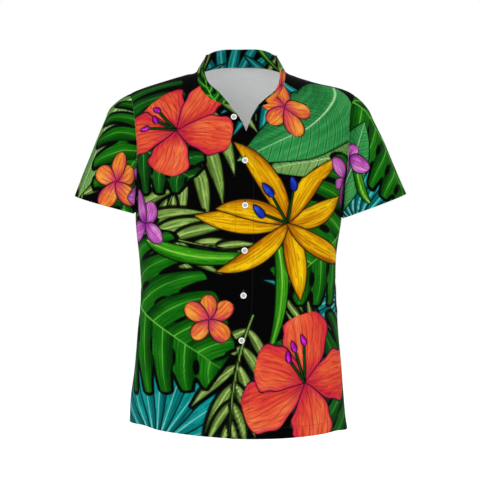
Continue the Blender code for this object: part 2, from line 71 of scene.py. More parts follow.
# ---- colours, threads and stitches -------------------------------------------------------
GROUND = (0, 0, 0)  # the print's ground, from 0 to 255, as all its colours are
WRONG_SIDE = (250, 250, 251)
PETAL_EDGE, PETAL_EDGE_WIDTH = (236, 52, 100), 10.0  # colour along a ruffled petal's edge
PRINT_DEPTH = 0.71  # how much of the light an ink gives back
SHOW_THROUGH = 0.03  # how much of the print shows on the wrong side
RIM_BARE = 0.6  # how pale the rim of the open neck is
THREAD_COLOUR = (0.012, 0.02, 0.014)  # of the stitching
THREAD_PITCH = 0.9  # mm from thread to thread of the weave
STITCH_HALF, STITCH_PITCH, STITCH_SHARE = 0.3, 2.6, 0.74  # half width, pitch, thread's share
STITCH_GROOVE = 0.8  # half the width of the groove that a line of stitches pulls
LINE_DEPTH = 1.5  # how strongly the fine lines of the print show
OUTLINE_HALF = 0.8  # half the width of the dark line round a motif
EDGE = 1.8  # mm over which a painted edge fades
THINNEST = 1.3  # half the width of the thinnest painted line
OUTLINE = 1.3  # width of the ground kept clear round a motif
LEAFLET_CLEAR, CUT_CLEAR = 6.0, 8.0  # the same round a leaflet and in a split leaf's cuts
RIM_REACH = 4.0  # mm from an edge up to which the distance from it is kept


# ---- body --------------------------------------------------------------------------------
UNDERARM = -215.0  # height of the foot of the armhole
CHEST = -150.0  # the shoulders start to round in above this height
HEM_LEVEL = -700.0  # the level at which the hem's width is taken
ROUND = 2.3  # exponent of the body's oval sections
NECK_HALF = 87.5  # from the middle of the neck to a neck point
NECK_CENTRE = 2.0
BACK_NECK = 18.0  # height of the neckline at the middle of the back
NECK_SWEEP = 3.0  # exponent of its curve down to the neck points
FOLD_GIRTH = 165.0  # turns an angle round the body into a length, for the folds


def smooth(keys, values, key):
    """Values between the rows of a table, on a smooth curve through all of them."""
    slopes = np.gradient(values, keys)
    i = np.clip(np.searchsorted(keys, key) - 1, 0, len(keys) - 2)
    step = keys[i + 1] - keys[i]
    t = np.clip((key - keys[i]) / step, 0, 1)
    return (
        values[i] * (1 + 2 * t) * (1 - t) ** 2
        + values[i + 1] * t * t * (3 - 2 * t)
        + step * (slopes[i] * t * (1 - t) ** 2 - slopes[i + 1] * t * t * (1 - t))
    )


class Table:
    """Rows of numbers under named columns; the first column is the key."""

    def __init__(self, columns, *rows):
        self.columns = columns.split()
        self.rows = np.array(rows, float)

    def at(self, column, key):
        values = self.rows[:, self.columns.index(column)]
        return smooth(self.rows[:, 0], values, np.asarray(key, float))


# The body's oval sections, from the hem up. Above the underarm the width is that of the
# oval from which the armholes are cut.
BODY = Table(
    "height centre half_width front_depth back_depth",
    (-706, -3.5, 215.5, 129, 125), (-680, -4.5, 212.0, 128, 124), (-640, -5.5, 209.0, 126, 122),
    (-590, -4.5, 203.0, 123, 119), (-515, -4.0, 194.3, 119, 114), (-440, -2.6, 190.4, 119, 112),
    (-365, -4.6, 192.6, 124, 117), (-290, -3.0, 199.8, 129, 126), (-250, -0.5, 202.6, 129, 129),
    (-215, 2, 206.5, 126, 131), (-185, 4, 215.0, 121, 131), (-150, 6, 227.0, 112, 128),
    (-110, 6, 236.0, 101, 124), (-73, 5, 241.0, 91, 121), (-40, 4, 243.0, 84, 118),
    (0, 2, 244.0, 78, 117), (20, 2, 244.0, 75, 116),
)
# The hem's height, from the wearer's right side seam (-1) to the left one (1).
HEM = Table(
    "reach front back",
    (-1.00, -683.5, -683.5), (-0.86, -682.0, -686.5), (-0.72, -687.5, -691.5),
    (-0.50, -692.0, -696.5), (-0.28, -696.0, -700.5), (0.00, -700.0, -703.0),
    (0.30, -700.2, -702.0), (0.55, -698.8, -700.0), (0.77, -696.2, -698.0), (0.90, -694.0, -697.5),
    (1.00, -698.0, -698.0),
)
# The ridge of the shoulders, from the middle of the neck out.
SHOULDER = Table(
    "reach left right",
    (0, 42.0, 42.0), (30, 37.3, 37.3), (60, 23.9, 23.9), (80, 8.8, 8.8), (87.5, 0.0, 0.0),
    (106, -9.0, -5.5), (130, -17.0, -12.5), (153, -23.5, -19.5), (177, -28.5, -27.0),
    (200, -34.5, -35.0), (212, -39.5, -40.0), (224, -47.0, -47.0), (236, -56.5, -56.5),
    (250, -70.0, -70.0),
)
# The armholes, from the underarm (0) to the shoulder tip (1).
ARMHOLE = Table(
    "rise reach_left reach_right",
    (0.00, 206.5, 206.5), (0.15, 204.0, 203.5), (0.35, 204.5, 203.0), (0.55, 206.0, 204.5),
    (0.75, 209.5, 207.5), (0.90, 216.0, 212.5), (1.00, 224.0, 217.0),
)
# The front edges, from the hem up: the line of the buttons, and the edges of the front that
# laps over (wearer's left) and of the front that lies under (wearer's right).
FRONT_EDGE = Table(
    "height buttons over under",
    (-706, -3.0, -20.0, 14.0), (-600, 0.5, -16.5, 17.5), (-518, 3.0, -14.0, 20.0),
    (-436, 6.5, -10.5, 23.5), (-349, 8.5, -8.5, 25.5), (-265, 9.5, -7.5, 26.5),
    (-200, 9.5, -7.5, 26.5), (-175, 9.5, -5.0, 23.0), (-150, 9.5, 3.0, 17.5),
    (-126, 9.5, 12.0, 11.5), (-110, 9.5, 17.5, 4.5), (-95, 9.5, 23.5, -4.0),
    (-75, 9.5, 34.0, -20.0),
)
LAP_TOP = -118.0  # the fronts part above this height
LAP_PART = 40.0  # height over which they come level with each other above it
LAP_INSIDE = 8.0  # width of the under front, inside the lap, that also lies back
LAP_BLEND = 45.0  # width over which it comes forward again beyond that
NECK_END_LEFT, NECK_END_RIGHT = -76.0, -73.0  # height at which each neckline ends in front

# The largest folds: where each lies round the body (0 at the middle of the front, 90 at the
# wearer's left side seam), its tilt from upright, and its half length, half width and height.
Fold = namedtuple("Fold", "around height tilt length width rise")


def folds(*rows):
    return [Fold(*row) for row in rows]


FOLDS = folds(
    (-84, -505, 24, 95, 34, 3.2), (-62, -575, -12, 110, 36, -2.6), (-38, -640, 8, 90, 38, 2.8),
    (82, -540, -20, 100, 36, 3.0), (58, -620, 10, 105, 38, -2.4), (30, -650, -6, 80, 40, 2.4),
    (74, -330, -38, 80, 32, 2.6), (-74, -330, 36, 85, 32, 2.4), (118, -560, 14, 120, 40, 3.4),
    (150, -610, -8, 120, 44, -3.0), (-150, -600, 10, 125, 44, 3.2),
    (-116, -545, -16, 110, 40, -2.8), (180, -430, 0, 130, 55, -3.0),
)

# ---- sleeves -----------------------------------------------------------------------------
# The top line and the underarm line of each sleeve, seen from the front, from the armhole
# (0) to the hem (1), the half depth of the tube from front to back, and how much lower its
# front hangs than its top and underarm lines.
SLEEVE_LEFT = Table(
    "along top_reach top_height under_reach under_height half_depth front_drop",
    (0.00, 226, -49, 209.0, -215, 66, 0.0), (0.09, 241, -62, 208.4, -221, 67, 0.0),
    (0.18, 253, -78, 207.2, -227, 68, 0.2), (0.30, 265, -102, 205.8, -236, 69, 0.5),
    (0.45, 280, -132, 204.3, -247, 69, 1.0), (0.62, 295, -167, 202.8, -259, 68, 1.3),
    (0.80, 310, -203, 201.4, -272, 67, 1.9), (1.00, 326, -239, 199.8, -286, 68, 2.5),
)
SLEEVE_RIGHT = Table(
    "along top_reach top_height under_reach under_height half_depth front_drop",
    (0.00, 221, -44, 205.5, -215, 65, 0.0), (0.09, 241, -56, 205.4, -220, 66, 0.2),
    (0.18, 257, -72, 205.1, -225, 67, 0.5), (0.30, 268, -97, 204.9, -232, 68, 1.0),
    (0.45, 280, -128, 204.9, -241, 68, 1.5), (0.62, 294, -165, 205.0, -252, 67, 2.2),
    (0.80, 309, -203, 205.1, -263, 66, 3.0), (1.00, 324, -243, 205.4, -276, 66, 3.8),
)
SLEEVE_ROUND = 2.2  # exponent of the sleeve's oval sections
SLEEVE_BACK_SHIFT = 5.0  # the tube's middle lies this far behind the shoulder seam
UNDERARM_ROOM = 0.6  # the sleeve's underarm stands this far off the body's side
UNDERARM_SHARE = 0.4  # of the armhole's height, from its foot up, over which that fades out

# ---- collar ------------------------------------------------------------------------------
# How the band rises from the neckline, from its right end (-1) over the back (0) to its left
# end (1): towards the middle of the neck, towards the back, and up.
COLLAR = Table(
    "station inward back up",
    (-1.00, -27.0, 9.0, 33.0), (-0.85, -8.0, 5.0, 37.0), (-0.70, 9.0, 2.0, 38.0),
    (-0.50, 20.5, 0.0, 34.2), (-0.38, 17.0, -5.0, 33.0), (-0.25, 10.0, -9.0, 33.2),
    (0.00, 0.0, -13.0, 32.6), (0.25, 10.0, -9.0, 33.5), (0.38, 16.5, -5.0, 32.3),
    (0.50, 18.5, 0.0, 33.0), (0.70, 8.0, 2.0, 36.5), (0.85, -8.0, 5.0, 32.0),
    (1.00, -25.0, 9.0, 25.0),
)
COLLAR_CORNER = 16.0  # radius of its two round front corners

# ---- buttons -----------------------------------------------------------------------------
# The fastened ones are on the front that laps over, and the open one is on the front that lies
# under it.
BUTTON_HEIGHTS = (-182.5, -266.0, -350.0, -434.0, -518.0)
OPEN_BUTTON = (-11.5, -99.0)  # x and height
BUTTON_RADIUS = 5.7
BUTTON_THICK = 2.6
BUTTON_RIM = 1.3  # width of the raised rim
BUTTON_WELL = 0.7  # depth of the dish inside the rim
BUTTON_EDGE = 0.6  # rounding of the rim's outer edge
BUTTON_HOLE = 0.75  # radius of a hole
BUTTON_PITCH = 1.5  # from the button's middle to a hole along X and along Y
BUTTON_SEAT = 0.3  # gap under a button

# ---- creases -----------------------------------------------------------------------------
# Finer than the folds: soft ridges and troughs, each with its place round the body, its height,
# its tilt from upright, and its half length, half width and height.
CREASES = folds(
    (-66, -262, 52, 46, 9, 1.5), (-58, -286, 44, 40, 8, -1.3), (-74, -318, 38, 34, 8, 1.0),
    (66, -258, -50, 48, 9, 1.6), (57, -284, -42, 38, 8, -1.2), (76, -322, -36, 36, 8, 1.1),
    (-80, -430, 70, 30, 7, -1.2), (-72, -452, 64, 34, 8, 1.3), (-84, -478, 60, 26, 6, -0.9),
    (79, -420, -72, 32, 7, -1.3), (71, -446, -62, 36, 8, 1.3), (86, -470, -66, 26, 7, 1.0),
    (-46, -600, 6, 70, 12, 1.2), (-70, -648, -5, 52, 10, 1.3), (48, -612, -8, 66, 12, 1.3),
    (72, -655, 4, 48, 10, -1.3), (16, -640, 5, 56, 13, 1.0), (-20, -655, -6, 48, 12, -1.0),
    (-30, -400, 28, 60, 14, 0.8), (34, -392, -24, 58, 13, 0.9), (-34, -180, 34, 40, 12, 0.8),
    (36, -172, -30, 44, 12, 0.8), (112, -300, 34, 62, 12, 1.7), (122, -338, 28, 54, 11, -1.4),
    (-114, -296, -36, 60, 12, 1.6), (-124, -340, -26, 50, 11, -1.3), (104, -455, 62, 44, 9, 1.5),
    (-102, -448, -66, 42, 9, 1.5), (128, -470, 70, 58, 10, -1.3), (-132, -476, -68, 62, 11, 1.4),
    (168, -455, 84, 66, 10, 1.2), (-160, -490, -82, 60, 10, -1.1), (150, -140, 62, 56, 12, 1.2),
    (-148, -146, -60, 58, 12, 1.2), (132, -640, -5, 64, 13, 1.6), (-138, -636, 7, 60, 13, -1.5),
    (176, -648, 3, 66, 15, 1.5),
)
# The same on a sleeve: its place round the tube (0 at the top, 90 in front), its share of the
# way from the armhole to the hem, its tilt from the sleeve's length, and the rest as above.
CREASES_LEFT = folds(
    (64, 0.30, 42, 36, 8, 1.4), (88, 0.44, 36, 40, 8, -1.4), (116, 0.62, 28, 36, 9, 1.6),
    (48, 0.80, 8, 34, 10, 1.2), (100, 0.90, -6, 30, 9, -1.1), (-58, 0.34, -40, 40, 9, 1.6),
    (-84, 0.52, -32, 38, 9, -1.5), (-118, 0.70, -24, 36, 9, 1.5), (-44, 0.84, -6, 32, 10, 1.1),
    (6, 0.16, 84, 34, 8, 0.9),
)
CREASES_RIGHT = folds(
    (58, 0.26, 46, 38, 9, 1.5), (82, 0.40, 38, 38, 8, -1.3), (108, 0.55, 30, 40, 9, 1.5),
    (70, 0.78, 10, 34, 10, 1.2), (126, 0.86, -4, 28, 9, -1.2), (-62, 0.30, -44, 38, 9, 1.5),
    (-90, 0.48, -34, 40, 9, -1.6), (-112, 0.66, -22, 34, 9, 1.4), (-38, 0.82, -8, 34, 10, 1.2),
    (-6, 0.20, 80, 34, 8, 0.8),
)

# ---- mesh density ------------------------------------------------------------------------
# Rows below, beside and above the armhole's foot, and columns to the neckline and along the
# shoulder, all in whole coarse cells.
Density = namedtuple("Density", "skirt armpit chest neck shoulder")
FRONT_MESH = Density(285, 45, 105, 99, 84)
BACK_MESH = Density(207, 33, 75, 69, 63)
ROWS_SLEEVE, AROUND_SLEEVE = 165, 312
ROWS_COLLAR, COLUMNS_COLLAR = 33, 330
NECK_CROWDING = 1.4  # how much closer the neckline's columns are by the neck point
CURVE_STEPS = 2000  # steps in which the length of a curve is measured


# ---- forms -------------------------------------------------------------------------------
def signed_power(value, exponent):
    return np.sign(value) * np.abs(value) ** exponent


def ease(t):
    """0 to 1 with level ends."""
    t = np.clip(t, 0, 1)
    return t * t * (3 - 2 * t)


def shoulder_height(x):
    reach = np.abs(x - NECK_CENTRE)
    left, right = SHOULDER.at("left", reach), SHOULDER.at("right", reach)
    return np.where(x > NECK_CENTRE, left, right)


def bumps(rows, around, height, girth, unit=1.0):
    """The sum of soft ridges and troughs at places given by an angle and a height.

    unit turns the heights of the rows into those of the places.
    """
    total = 0.0
    for fold in rows:
        turn = (around - fold.around + 180) % 360 - 180
        sideways = np.radians(turn) * girth
        upward = height - fold.height * unit
        tilt = radians(fold.tilt)
        across = sideways * cos(tilt) + upward * sin(tilt)
        along = upward * cos(tilt) - sideways * sin(tilt)
        shape = np.exp(-((across / fold.width) ** 2) - (along / fold.length) ** 2)
        total = total + fold.rise * shape
    return total


def fold_rise(x, y, z):
    """How far the folds and creases push the cloth out at a point of the body."""
    return bumps(FOLDS + CREASES, np.degrees(np.arctan2(x, -y)), z, FOLD_GIRTH)


def body_surface(x, z, side):
    """Points of the body's outer surface over x and z; side is -1 for front, 1 for back."""
    x, z = np.broadcast_arrays(np.asarray(x, float), np.asarray(z, float))
    centre = BODY.at("centre", z)
    half = BODY.at("half_width", z)
    depth = BODY.at("front_depth" if side < 0 else "back_depth", z)
    ratio = np.clip(np.abs(x - centre) / half, 0, 1)
    section = (1 - ratio**ROUND) ** (1 / ROUND)
    ridge = shoulder_height(x)
    drop = np.clip((ridge - z) / (ridge - CHEST), 0, 1)
    crown = np.sqrt(1 - (1 - drop) ** 2)
    y = side * depth * section * crown
    grow = 1 + fold_rise(x - centre, y, z) / half
    return np.stack([centre + (x - centre) * grow, y * grow + side * SEAM / 2, z], axis=-1)


def side_of_body(y, z, hand):
    """How far out the body reaches at places in front of its side seam or behind it."""
    depth = BODY.at("front_depth", z)
    section = (1 - np.clip(np.abs(y) / depth, 0, 1) ** ROUND) ** (1 / ROUND)
    return BODY.at("centre", z) + hand * BODY.at("half_width", z) * section


def armhole_reach(z, hand):
    """Distance of the armhole from the body's middle; hand is 1 for the wearer's left."""
    tip = shoulder_tip(hand)[1]
    column = "reach_left" if hand > 0 else "reach_right"
    return ARMHOLE.at(column, (z - UNDERARM) / (tip - UNDERARM))


def shoulder_tip(hand):
    """x and height of the top of the armhole."""
    x = NECK_CENTRE + hand * ARMHOLE.rows[-1, 1 if hand > 0 else 2]
    return x, float(shoulder_height(x))


def outer_edge(z, hand):
    """x of the side seam, and of the armhole above it."""
    centre = BODY.at("centre", z)
    reach = np.where(z <= UNDERARM, BODY.at("half_width", z), armhole_reach(z, hand))
    follow = ease((z - UNDERARM) / (shoulder_tip(hand)[1] - UNDERARM))
    return centre + hand * reach + (NECK_CENTRE - centre) * follow


def rows_of(column_x, top_z, side, mesh):
    """Heights down to the hem for columns that end at top_z, and how far each row is up."""
    reach = (column_x - BODY.at("centre", HEM_LEVEL)) / BODY.at("half_width", HEM_LEVEL)
    hem = HEM.at("front" if side < 0 else "back", reach)
    skirt = np.linspace(0, 1, mesh.skirt + 1)[:, None]
    armpit = np.linspace(0, 1, mesh.armpit + 1)[1:, None]
    chest = np.linspace(0, 1, mesh.chest + 1)[1:, None]
    z = np.concatenate(
        [
            hem + (UNDERARM - hem) * skirt,
            UNDERARM + (CHEST - UNDERARM) * (1 - np.cos(armpit * pi / 2)) + 0 * hem,
            CHEST + (top_z - CHEST) * np.sin(chest * pi / 2),
        ]
    )
    above = mesh.armpit + mesh.chest
    return z, ease(np.arange(-mesh.skirt, above + 1)[:, None] / above)


def column_x(inner, outer, share, centre, half, hand):
    """x at a share of the way round from an inner edge to an outer edge of the oval."""
    start = np.arcsin(np.clip(signed_power(hand * (inner - centre) / half, ROUND / 2), -1, 1))
    end = np.arcsin(np.clip(signed_power(hand * (outer - centre) / half, ROUND / 2), -1, 1))
    angle = start + (end - start) * share
    return centre + hand * half * signed_power(np.sin(angle), 2 / ROUND)


def shoulder_line(hand, mesh):
    """x of the shoulder seam's points, from the neck point to the shoulder tip."""
    return np.linspace(NECK_CENTRE + hand * NECK_HALF, shoulder_tip(hand)[0], mesh.shoulder + 1)


def step_along(curve, low, high, shares, side):
    """x and height of points at shares of the length of a curve that lies on the body."""
    fine = np.linspace(low, high, CURVE_STEPS)
    run = lengths_along(body_surface(*curve(fine), side))
    return curve(np.interp(shares * run[-1], run, fine))


def lengths_along(points):
    """Length from the first point of a line to each of its points."""
    steps = np.linalg.norm(np.diff(points, axis=0), axis=-1)
    return np.concatenate([np.zeros_like(steps[:1]), np.cumsum(steps, axis=0)])


def front_neckline(hand, mesh):
    """x and height of the neckline, from the front edge round to the neck point."""
    end_z = NECK_END_LEFT if hand > 0 else NECK_END_RIGHT
    end_x = float(FRONT_EDGE.at("over" if hand > 0 else "under", end_z))
    neck_x = NECK_CENTRE + hand * NECK_HALF

    def curve(angle):
        return end_x + (neck_x - end_x) * np.sin(angle), end_z * np.cos(angle)

    shares = 1 - np.linspace(1, 0, mesh.neck + 1) ** NECK_CROWDING
    return step_along(curve, 0, pi / 2, shares, -1)


def back_neckline(mesh):
    """x and height of the neckline over the back, from the right neck point to the left."""

    def curve(angle):
        height = BACK_NECK * (1 - np.abs(np.sin(angle)) ** NECK_SWEEP)
        return NECK_CENTRE + NECK_HALF * np.sin(angle), height

    return step_along(curve, -pi / 2, pi / 2, np.linspace(0, 1, 2 * mesh.neck + 1), 1)


def panel_places(side, mesh, top_x, top_z, inner, share, hand):
    """x and z of a front or the back: rows from the hem up, columns along its top.

    inner gives the x of its inner edge at a height. share says how far each column lies from
    there to the side seam, and hand on which side of the body.
    """

    def sweep(z):
        centre, half = BODY.at("centre", z), BODY.at("half_width", z)
        outer = np.where(hand > 0, outer_edge(z, 1), outer_edge(z, -1))
        return column_x(inner(z), outer, share, centre, half, hand)

    z, up = rows_of(sweep(np.full_like(share, HEM_LEVEL)), top_z, side, mesh)
    return sweep(z) + (top_x - sweep(top_z)) * up, z


def front_grid(hand):
    """Outer points of one front, its columns from its edge out."""
    mesh = FRONT_MESH
    neck_x, neck_z = front_neckline(hand, mesh)
    line_x = shoulder_line(hand, mesh)[1:]
    top_x = np.concatenate([neck_x, line_x])
    top_z = np.concatenate([neck_z, shoulder_height(line_x)])
    edge = "over" if hand > 0 else "under"
    share = np.linspace(0, 1, len(top_x))
    x, z = panel_places(-1, mesh, top_x, top_z, lambda z: FRONT_EDGE.at(edge, z), share, hand)
    grid = body_surface(x, z, -1)
    if hand < 0:
        # the front that lies under steps back behind the one that laps over it
        near = 1 - ease((FRONT_EDGE.at("over", z) - LAP_INSIDE - x) / LAP_BLEND)
        low = 1 - ease((z - LAP_TOP) / LAP_PART)
        grid[..., 1] += (SHELL + LAP) * near * low
    return grid


def back_grid():
    """Outer points of the back, its columns from right to left."""
    mesh = BACK_MESH
    neck_x, neck_z = back_neckline(mesh)
    right_x, left_x = shoulder_line(-1, mesh)[:0:-1], shoulder_line(1, mesh)[1:]
    top_x = np.concatenate([right_x, neck_x, left_x])
    top_z = np.concatenate([shoulder_height(right_x), neck_z, shoulder_height(left_x)])
    count = len(top_x)
    share = np.abs(np.linspace(-1, 1, count))
    hand = np.where(np.arange(count) < count // 2, -1.0, 1.0)
    x, z = panel_places(1, mesh, top_x, top_z, lambda z: BODY.at("centre", z), share, hand)
    return body_surface(x, z, 1)


def grid_normals(grid, closed=False):
    """Unit normals of a grid of points; closed joins its last column to its first."""
    if closed:
        wrapped = np.concatenate([grid[:, -1:], grid, grid[:, :1]], axis=1)
        across = (wrapped[:, 2:] - wrapped[:, :-2]) / 2
    else:
        across = np.gradient(grid, axis=1)
    normals = np.cross(across, np.gradient(grid, axis=0))
    return normals / np.linalg.norm(normals, axis=-1, keepdims=True)


def evenly(points, count):
    """Points at equal steps along a line, with what else their rows hold."""
    run = lengths_along(points[:, :3])
    steps = np.linspace(0, run[-1], count)
    return np.stack([np.interp(steps, run, column) for column in points.T], axis=-1)


def with_turning(grid, out, axis, cells):
    """Each point of a grid, and three under it, at the edge and further and further in.

    A seam's turning runs through those three: cells is the way in from the edge along axis.
    """
    under = grid - out * TURN_DEPTH
    inner = [np.roll(under, share * cells, axis=axis) for share in (1, 2)]
    return np.concatenate([grid, under, *inner], axis=-1)


def turning(border):
    """The three rows of a seam's turning, from its raw edge to the seam."""
    return np.stack([border[:, 9:12], border[:, 6:9], border[:, 3:6]])


def evened_turning(border):
    """The same border, its turning led smoothly round the corners."""
    here = border[:, :3]
    reach = border.reshape(-1, 4, 3) - here[:, None]
    padded = np.pad(reach, ((TURN_SPAN, TURN_SPAN), (0, 0), (0, 0)), mode="edge")
    sums = np.cumsum(padded, axis=0)
    mean = (sums[2 * TURN_SPAN :] - sums[: len(here)]) / (2 * TURN_SPAN)
    return (here[:, None] + mean[: len(here)]).reshape(len(here), -1)


def around_armhole(front, back, hand):
    """One ring: the underarm, up the front, and down the back, each point with its turning."""
    half = AROUND_SLEEVE // 2
    up_front = evenly(front[FRONT_MESH.skirt :, -1], half + 1)
    down_back = evenly(back[: BACK_MESH.skirt - 1 : -1, -1 if hand > 0 else 0], half + 1)
    return np.concatenate([up_front, down_back[1:-1]])


def sleeve_grid(hand, border):
    """Outer points of a sleeve: rings from the armhole to the hem."""
    armhole = border[:, :3]
    table = SLEEVE_LEFT if hand > 0 else SLEEVE_RIGHT
    count = len(armhole)
    low, high = armhole[0, 2], armhole[:, 2].max()
    height = np.clip((armhole[:, 2] - (low + high) / 2) / ((high - low) / 2), -1, 1)
    top = count // 2
    turn = np.arccos(-height)
    turn[top + 1 :] = 2 * pi - turn[top + 1 :]
    even = np.linspace(0, 2 * pi, count, endpoint=False)

    def ring(along):
        phase = turn + (even - turn) * ease(along)
        over = np.array([hand * table.at("top_reach", along), table.at("top_height", along)])
        under = np.array([hand * table.at("under_reach", along), table.at("under_height", along)])
        middle, arm = (over + under) / 2, (over - under) / 2
        rise = -signed_power(np.cos(phase), 2 / SLEEVE_ROUND)
        depth = signed_power(np.sin(phase), 2 / SLEEVE_ROUND) * table.at("half_depth", along)
        y = SLEEVE_BACK_SHIFT * (1 - along) - depth
        z = middle[1] + arm[1] * rise - table.at("front_drop", along) * np.sin(phase)
        x = middle[0] + arm[0] * rise
        # in front of the body and behind it, the underarm lies in towards its round side
        room = hand * (x - side_of_body(y, z, hand)) - HUG_CLEAR
        pull = np.maximum(room, 0) * HUG
        pull = pull * ease((-rise - HUG_START) / HUG_RAMP) * ease(along / HUG_ALONG)
        slope = min(arm[1] / abs(arm[0]), HUG_SLOPE)
        return np.stack([x - hand * pull, y, z - slope * pull], axis=-1)

    underarm = ease(1 - (height + 1) / (2 * UNDERARM_SHARE))
    first = armhole.copy()
    first[:, 0] += hand * (SEAM + UNDERARM_ROOM * underarm)
    correction = first - ring(0.0)
    shares = np.linspace(0, 1, ROWS_SLEEVE + 1)
    grid = np.array([ring(along) + correction * (1 - along) ** 3 for along in shares])
    length = lengths_along(grid)[-1].mean()
    creases = CREASES_LEFT if hand > 0 else CREASES_RIGHT
    height = (shares * length)[:, None]
    rise = bumps(creases, np.degrees(pi - even), height, ARM_GIRTH, length)
    free = np.clip((shares - CREASE_START) / CREASE_RAMP, 0, 1)[:, None]
    return grid - hand * grid_normals(grid, closed=True) * (rise * free)[..., None]


def collar_grid(border):
    """Outer points of the collar: rows from the neckline up, columns from right to left."""
    neckline = border[:, :3]
    run = lengths_along(neckline)
    station = 2 * run / run[-1] - 1
    inward = -np.sign(neckline[:, 0] - NECK_CENTRE) * COLLAR.at("inward", station)
    rise = np.stack([inward, COLLAR.at("back", station), COLLAR.at("up", station)], axis=-1)
    from_end = np.minimum(run, run[-1] - run)
    corner = 1 - np.clip(from_end / COLLAR_CORNER, 0, 1)
    height = np.linalg.norm(rise, axis=1)
    rounding = COLLAR_CORNER * (1 - np.sqrt(1 - corner**2)) / height
    foot = neckline + rise / height[:, None] * SEAM
    steps = np.linspace(0, 1, ROWS_COLLAR + 1)[:, None, None]
    return foot + rise * (1 - rounding[:, None]) * steps


def dip(grid, out, near):
    """Sinks a grid into its seams; near is each point's distance from the nearest seam."""
    return grid - out * (SEAM_DIP * np.exp(-((near / SEAM_DIP_WIDTH) ** 2)))[..., None]


def linked(name, data):
    """A new object in the scene."""
    obj = bpy.data.objects.new(name, data)
    bpy.context.scene.collection.objects.link(obj)
    return obj


def shell(name, grid, out, coarse=COARSE, closed=False):
    """A thin closed wall, its right side finer than its wrong side, with rounded edges.

    Returns the object, the grid's rows and columns behind each of its vertices, and which of
    its vertices lie on the wrong side (1) and on an edge (2).
    """
    rows, columns = grid.shape[:2]
    keep = np.zeros((rows, columns), bool)
    keep[::coarse, ::coarse] = True
    keep[[0, -1]] = True
    away = np.zeros_like(grid)
    away[0] += grid[0] - grid[1]
    away[-1] += grid[-1] - grid[-2]
    if not closed:
        keep[:, [0, -1]] = True
        away[:, 0] += grid[:, 0] - grid[:, 1]
        away[:, -1] += grid[:, -1] - grid[:, -2]
    right_id = np.arange(rows * columns).reshape(rows, columns)
    wrong_id = np.full((rows, columns), -1)
    wrong_id[keep] = rows * columns + np.arange(keep.sum())
    verts = [grid.reshape(-1, 3), (grid - out * SHELL)[keep]]
    source = [np.arange(rows * columns), np.flatnonzero(keep)]
    span = columns if closed else columns - 1
    i, j = (a.ravel() for a in np.mgrid[0 : rows - 1, 0:span])
    k = (j + 1) % columns
    quads = [right_id[i, j], right_id[i, k], right_id[i + 1, k], right_id[i + 1, j]]
    faces = np.stack(quads, axis=1).tolist()
    right_faces = len(faces)
    for i in range(0, rows - 1, coarse):
        for j in range(0, span, coarse):
            faces.append(coarse_cell(wrong_id, i, j, coarse))
    rim_faces = len(faces)
    if closed:
        loops = [(np.full(columns, row), np.arange(columns)) for row in (0, rows - 1)]
    else:
        loops = [border(rows, columns)]
    base = sum(len(part) for part in verts)
    for i, j in loops:
        outward = away[i, j] / np.linalg.norm(away[i, j], axis=1, keepdims=True)
        verts.append(grid[i, j] - out[i, j] * SHELL / 2 + outward * ROLL)
        source.append(right_id[i, j])
        edge, behind, middle = right_id[i, j], wrong_id[i, j], base + np.arange(len(i))
        for one, other in ((edge, middle), (middle, behind)):
            quads = [one, np.roll(one, -1), np.roll(other, -1), other]
            faces += np.stack(quads, axis=1).tolist()
        base += len(i)
    mesh = bpy.data.meshes.new(name)
    mesh.from_pydata(np.concatenate(verts) * MM, [], faces)
    index = np.zeros(len(faces), np.int32)
    index[right_faces:rim_faces] = 1
    mesh.polygons.foreach_set("material_index", index)
    bm = bmesh.new()
    bm.from_mesh(mesh)
    bmesh.ops.recalc_face_normals(bm, faces=bm.faces)
    if bm.calc_volume(signed=True) < 0:
        bmesh.ops.reverse_faces(bm, faces=bm.faces)
    bm.to_mesh(mesh)
    bm.free()
    mesh.shade_smooth()
    layer = np.concatenate([np.full(len(part), n) for n, part in zip((0, 1, 2, 2), source)])
    return linked(name, mesh), np.concatenate(source), layer


def border(rows, columns):
    """Rows and columns of a grid's border, once round."""
    down, over = rows - 1, columns - 1
    i, j = np.arange(down), np.arange(over)
    around_rows = np.concatenate([0 * j, i, 0 * j + down, down - i])
    return around_rows, np.concatenate([j, 0 * i + over, over - j, 0 * i])


def coarse_cell(wrong_id, i, j, coarse):
    """One cell of the wrong side, with every fine point that lies on the piece's edge."""
    top, right = i + coarse, j + coarse
    path = [(i, c) for c in range(j, right)] + [(r, right) for r in range(i, top)]
    path += [(top, c) for c in range(right, j, -1)] + [(r, j) for r in range(top, i, -1)]
    columns = wrong_id.shape[1]
    points = [int(wrong_id[r, c % columns]) for r, c in path]
    return [point for point in points if point >= 0]


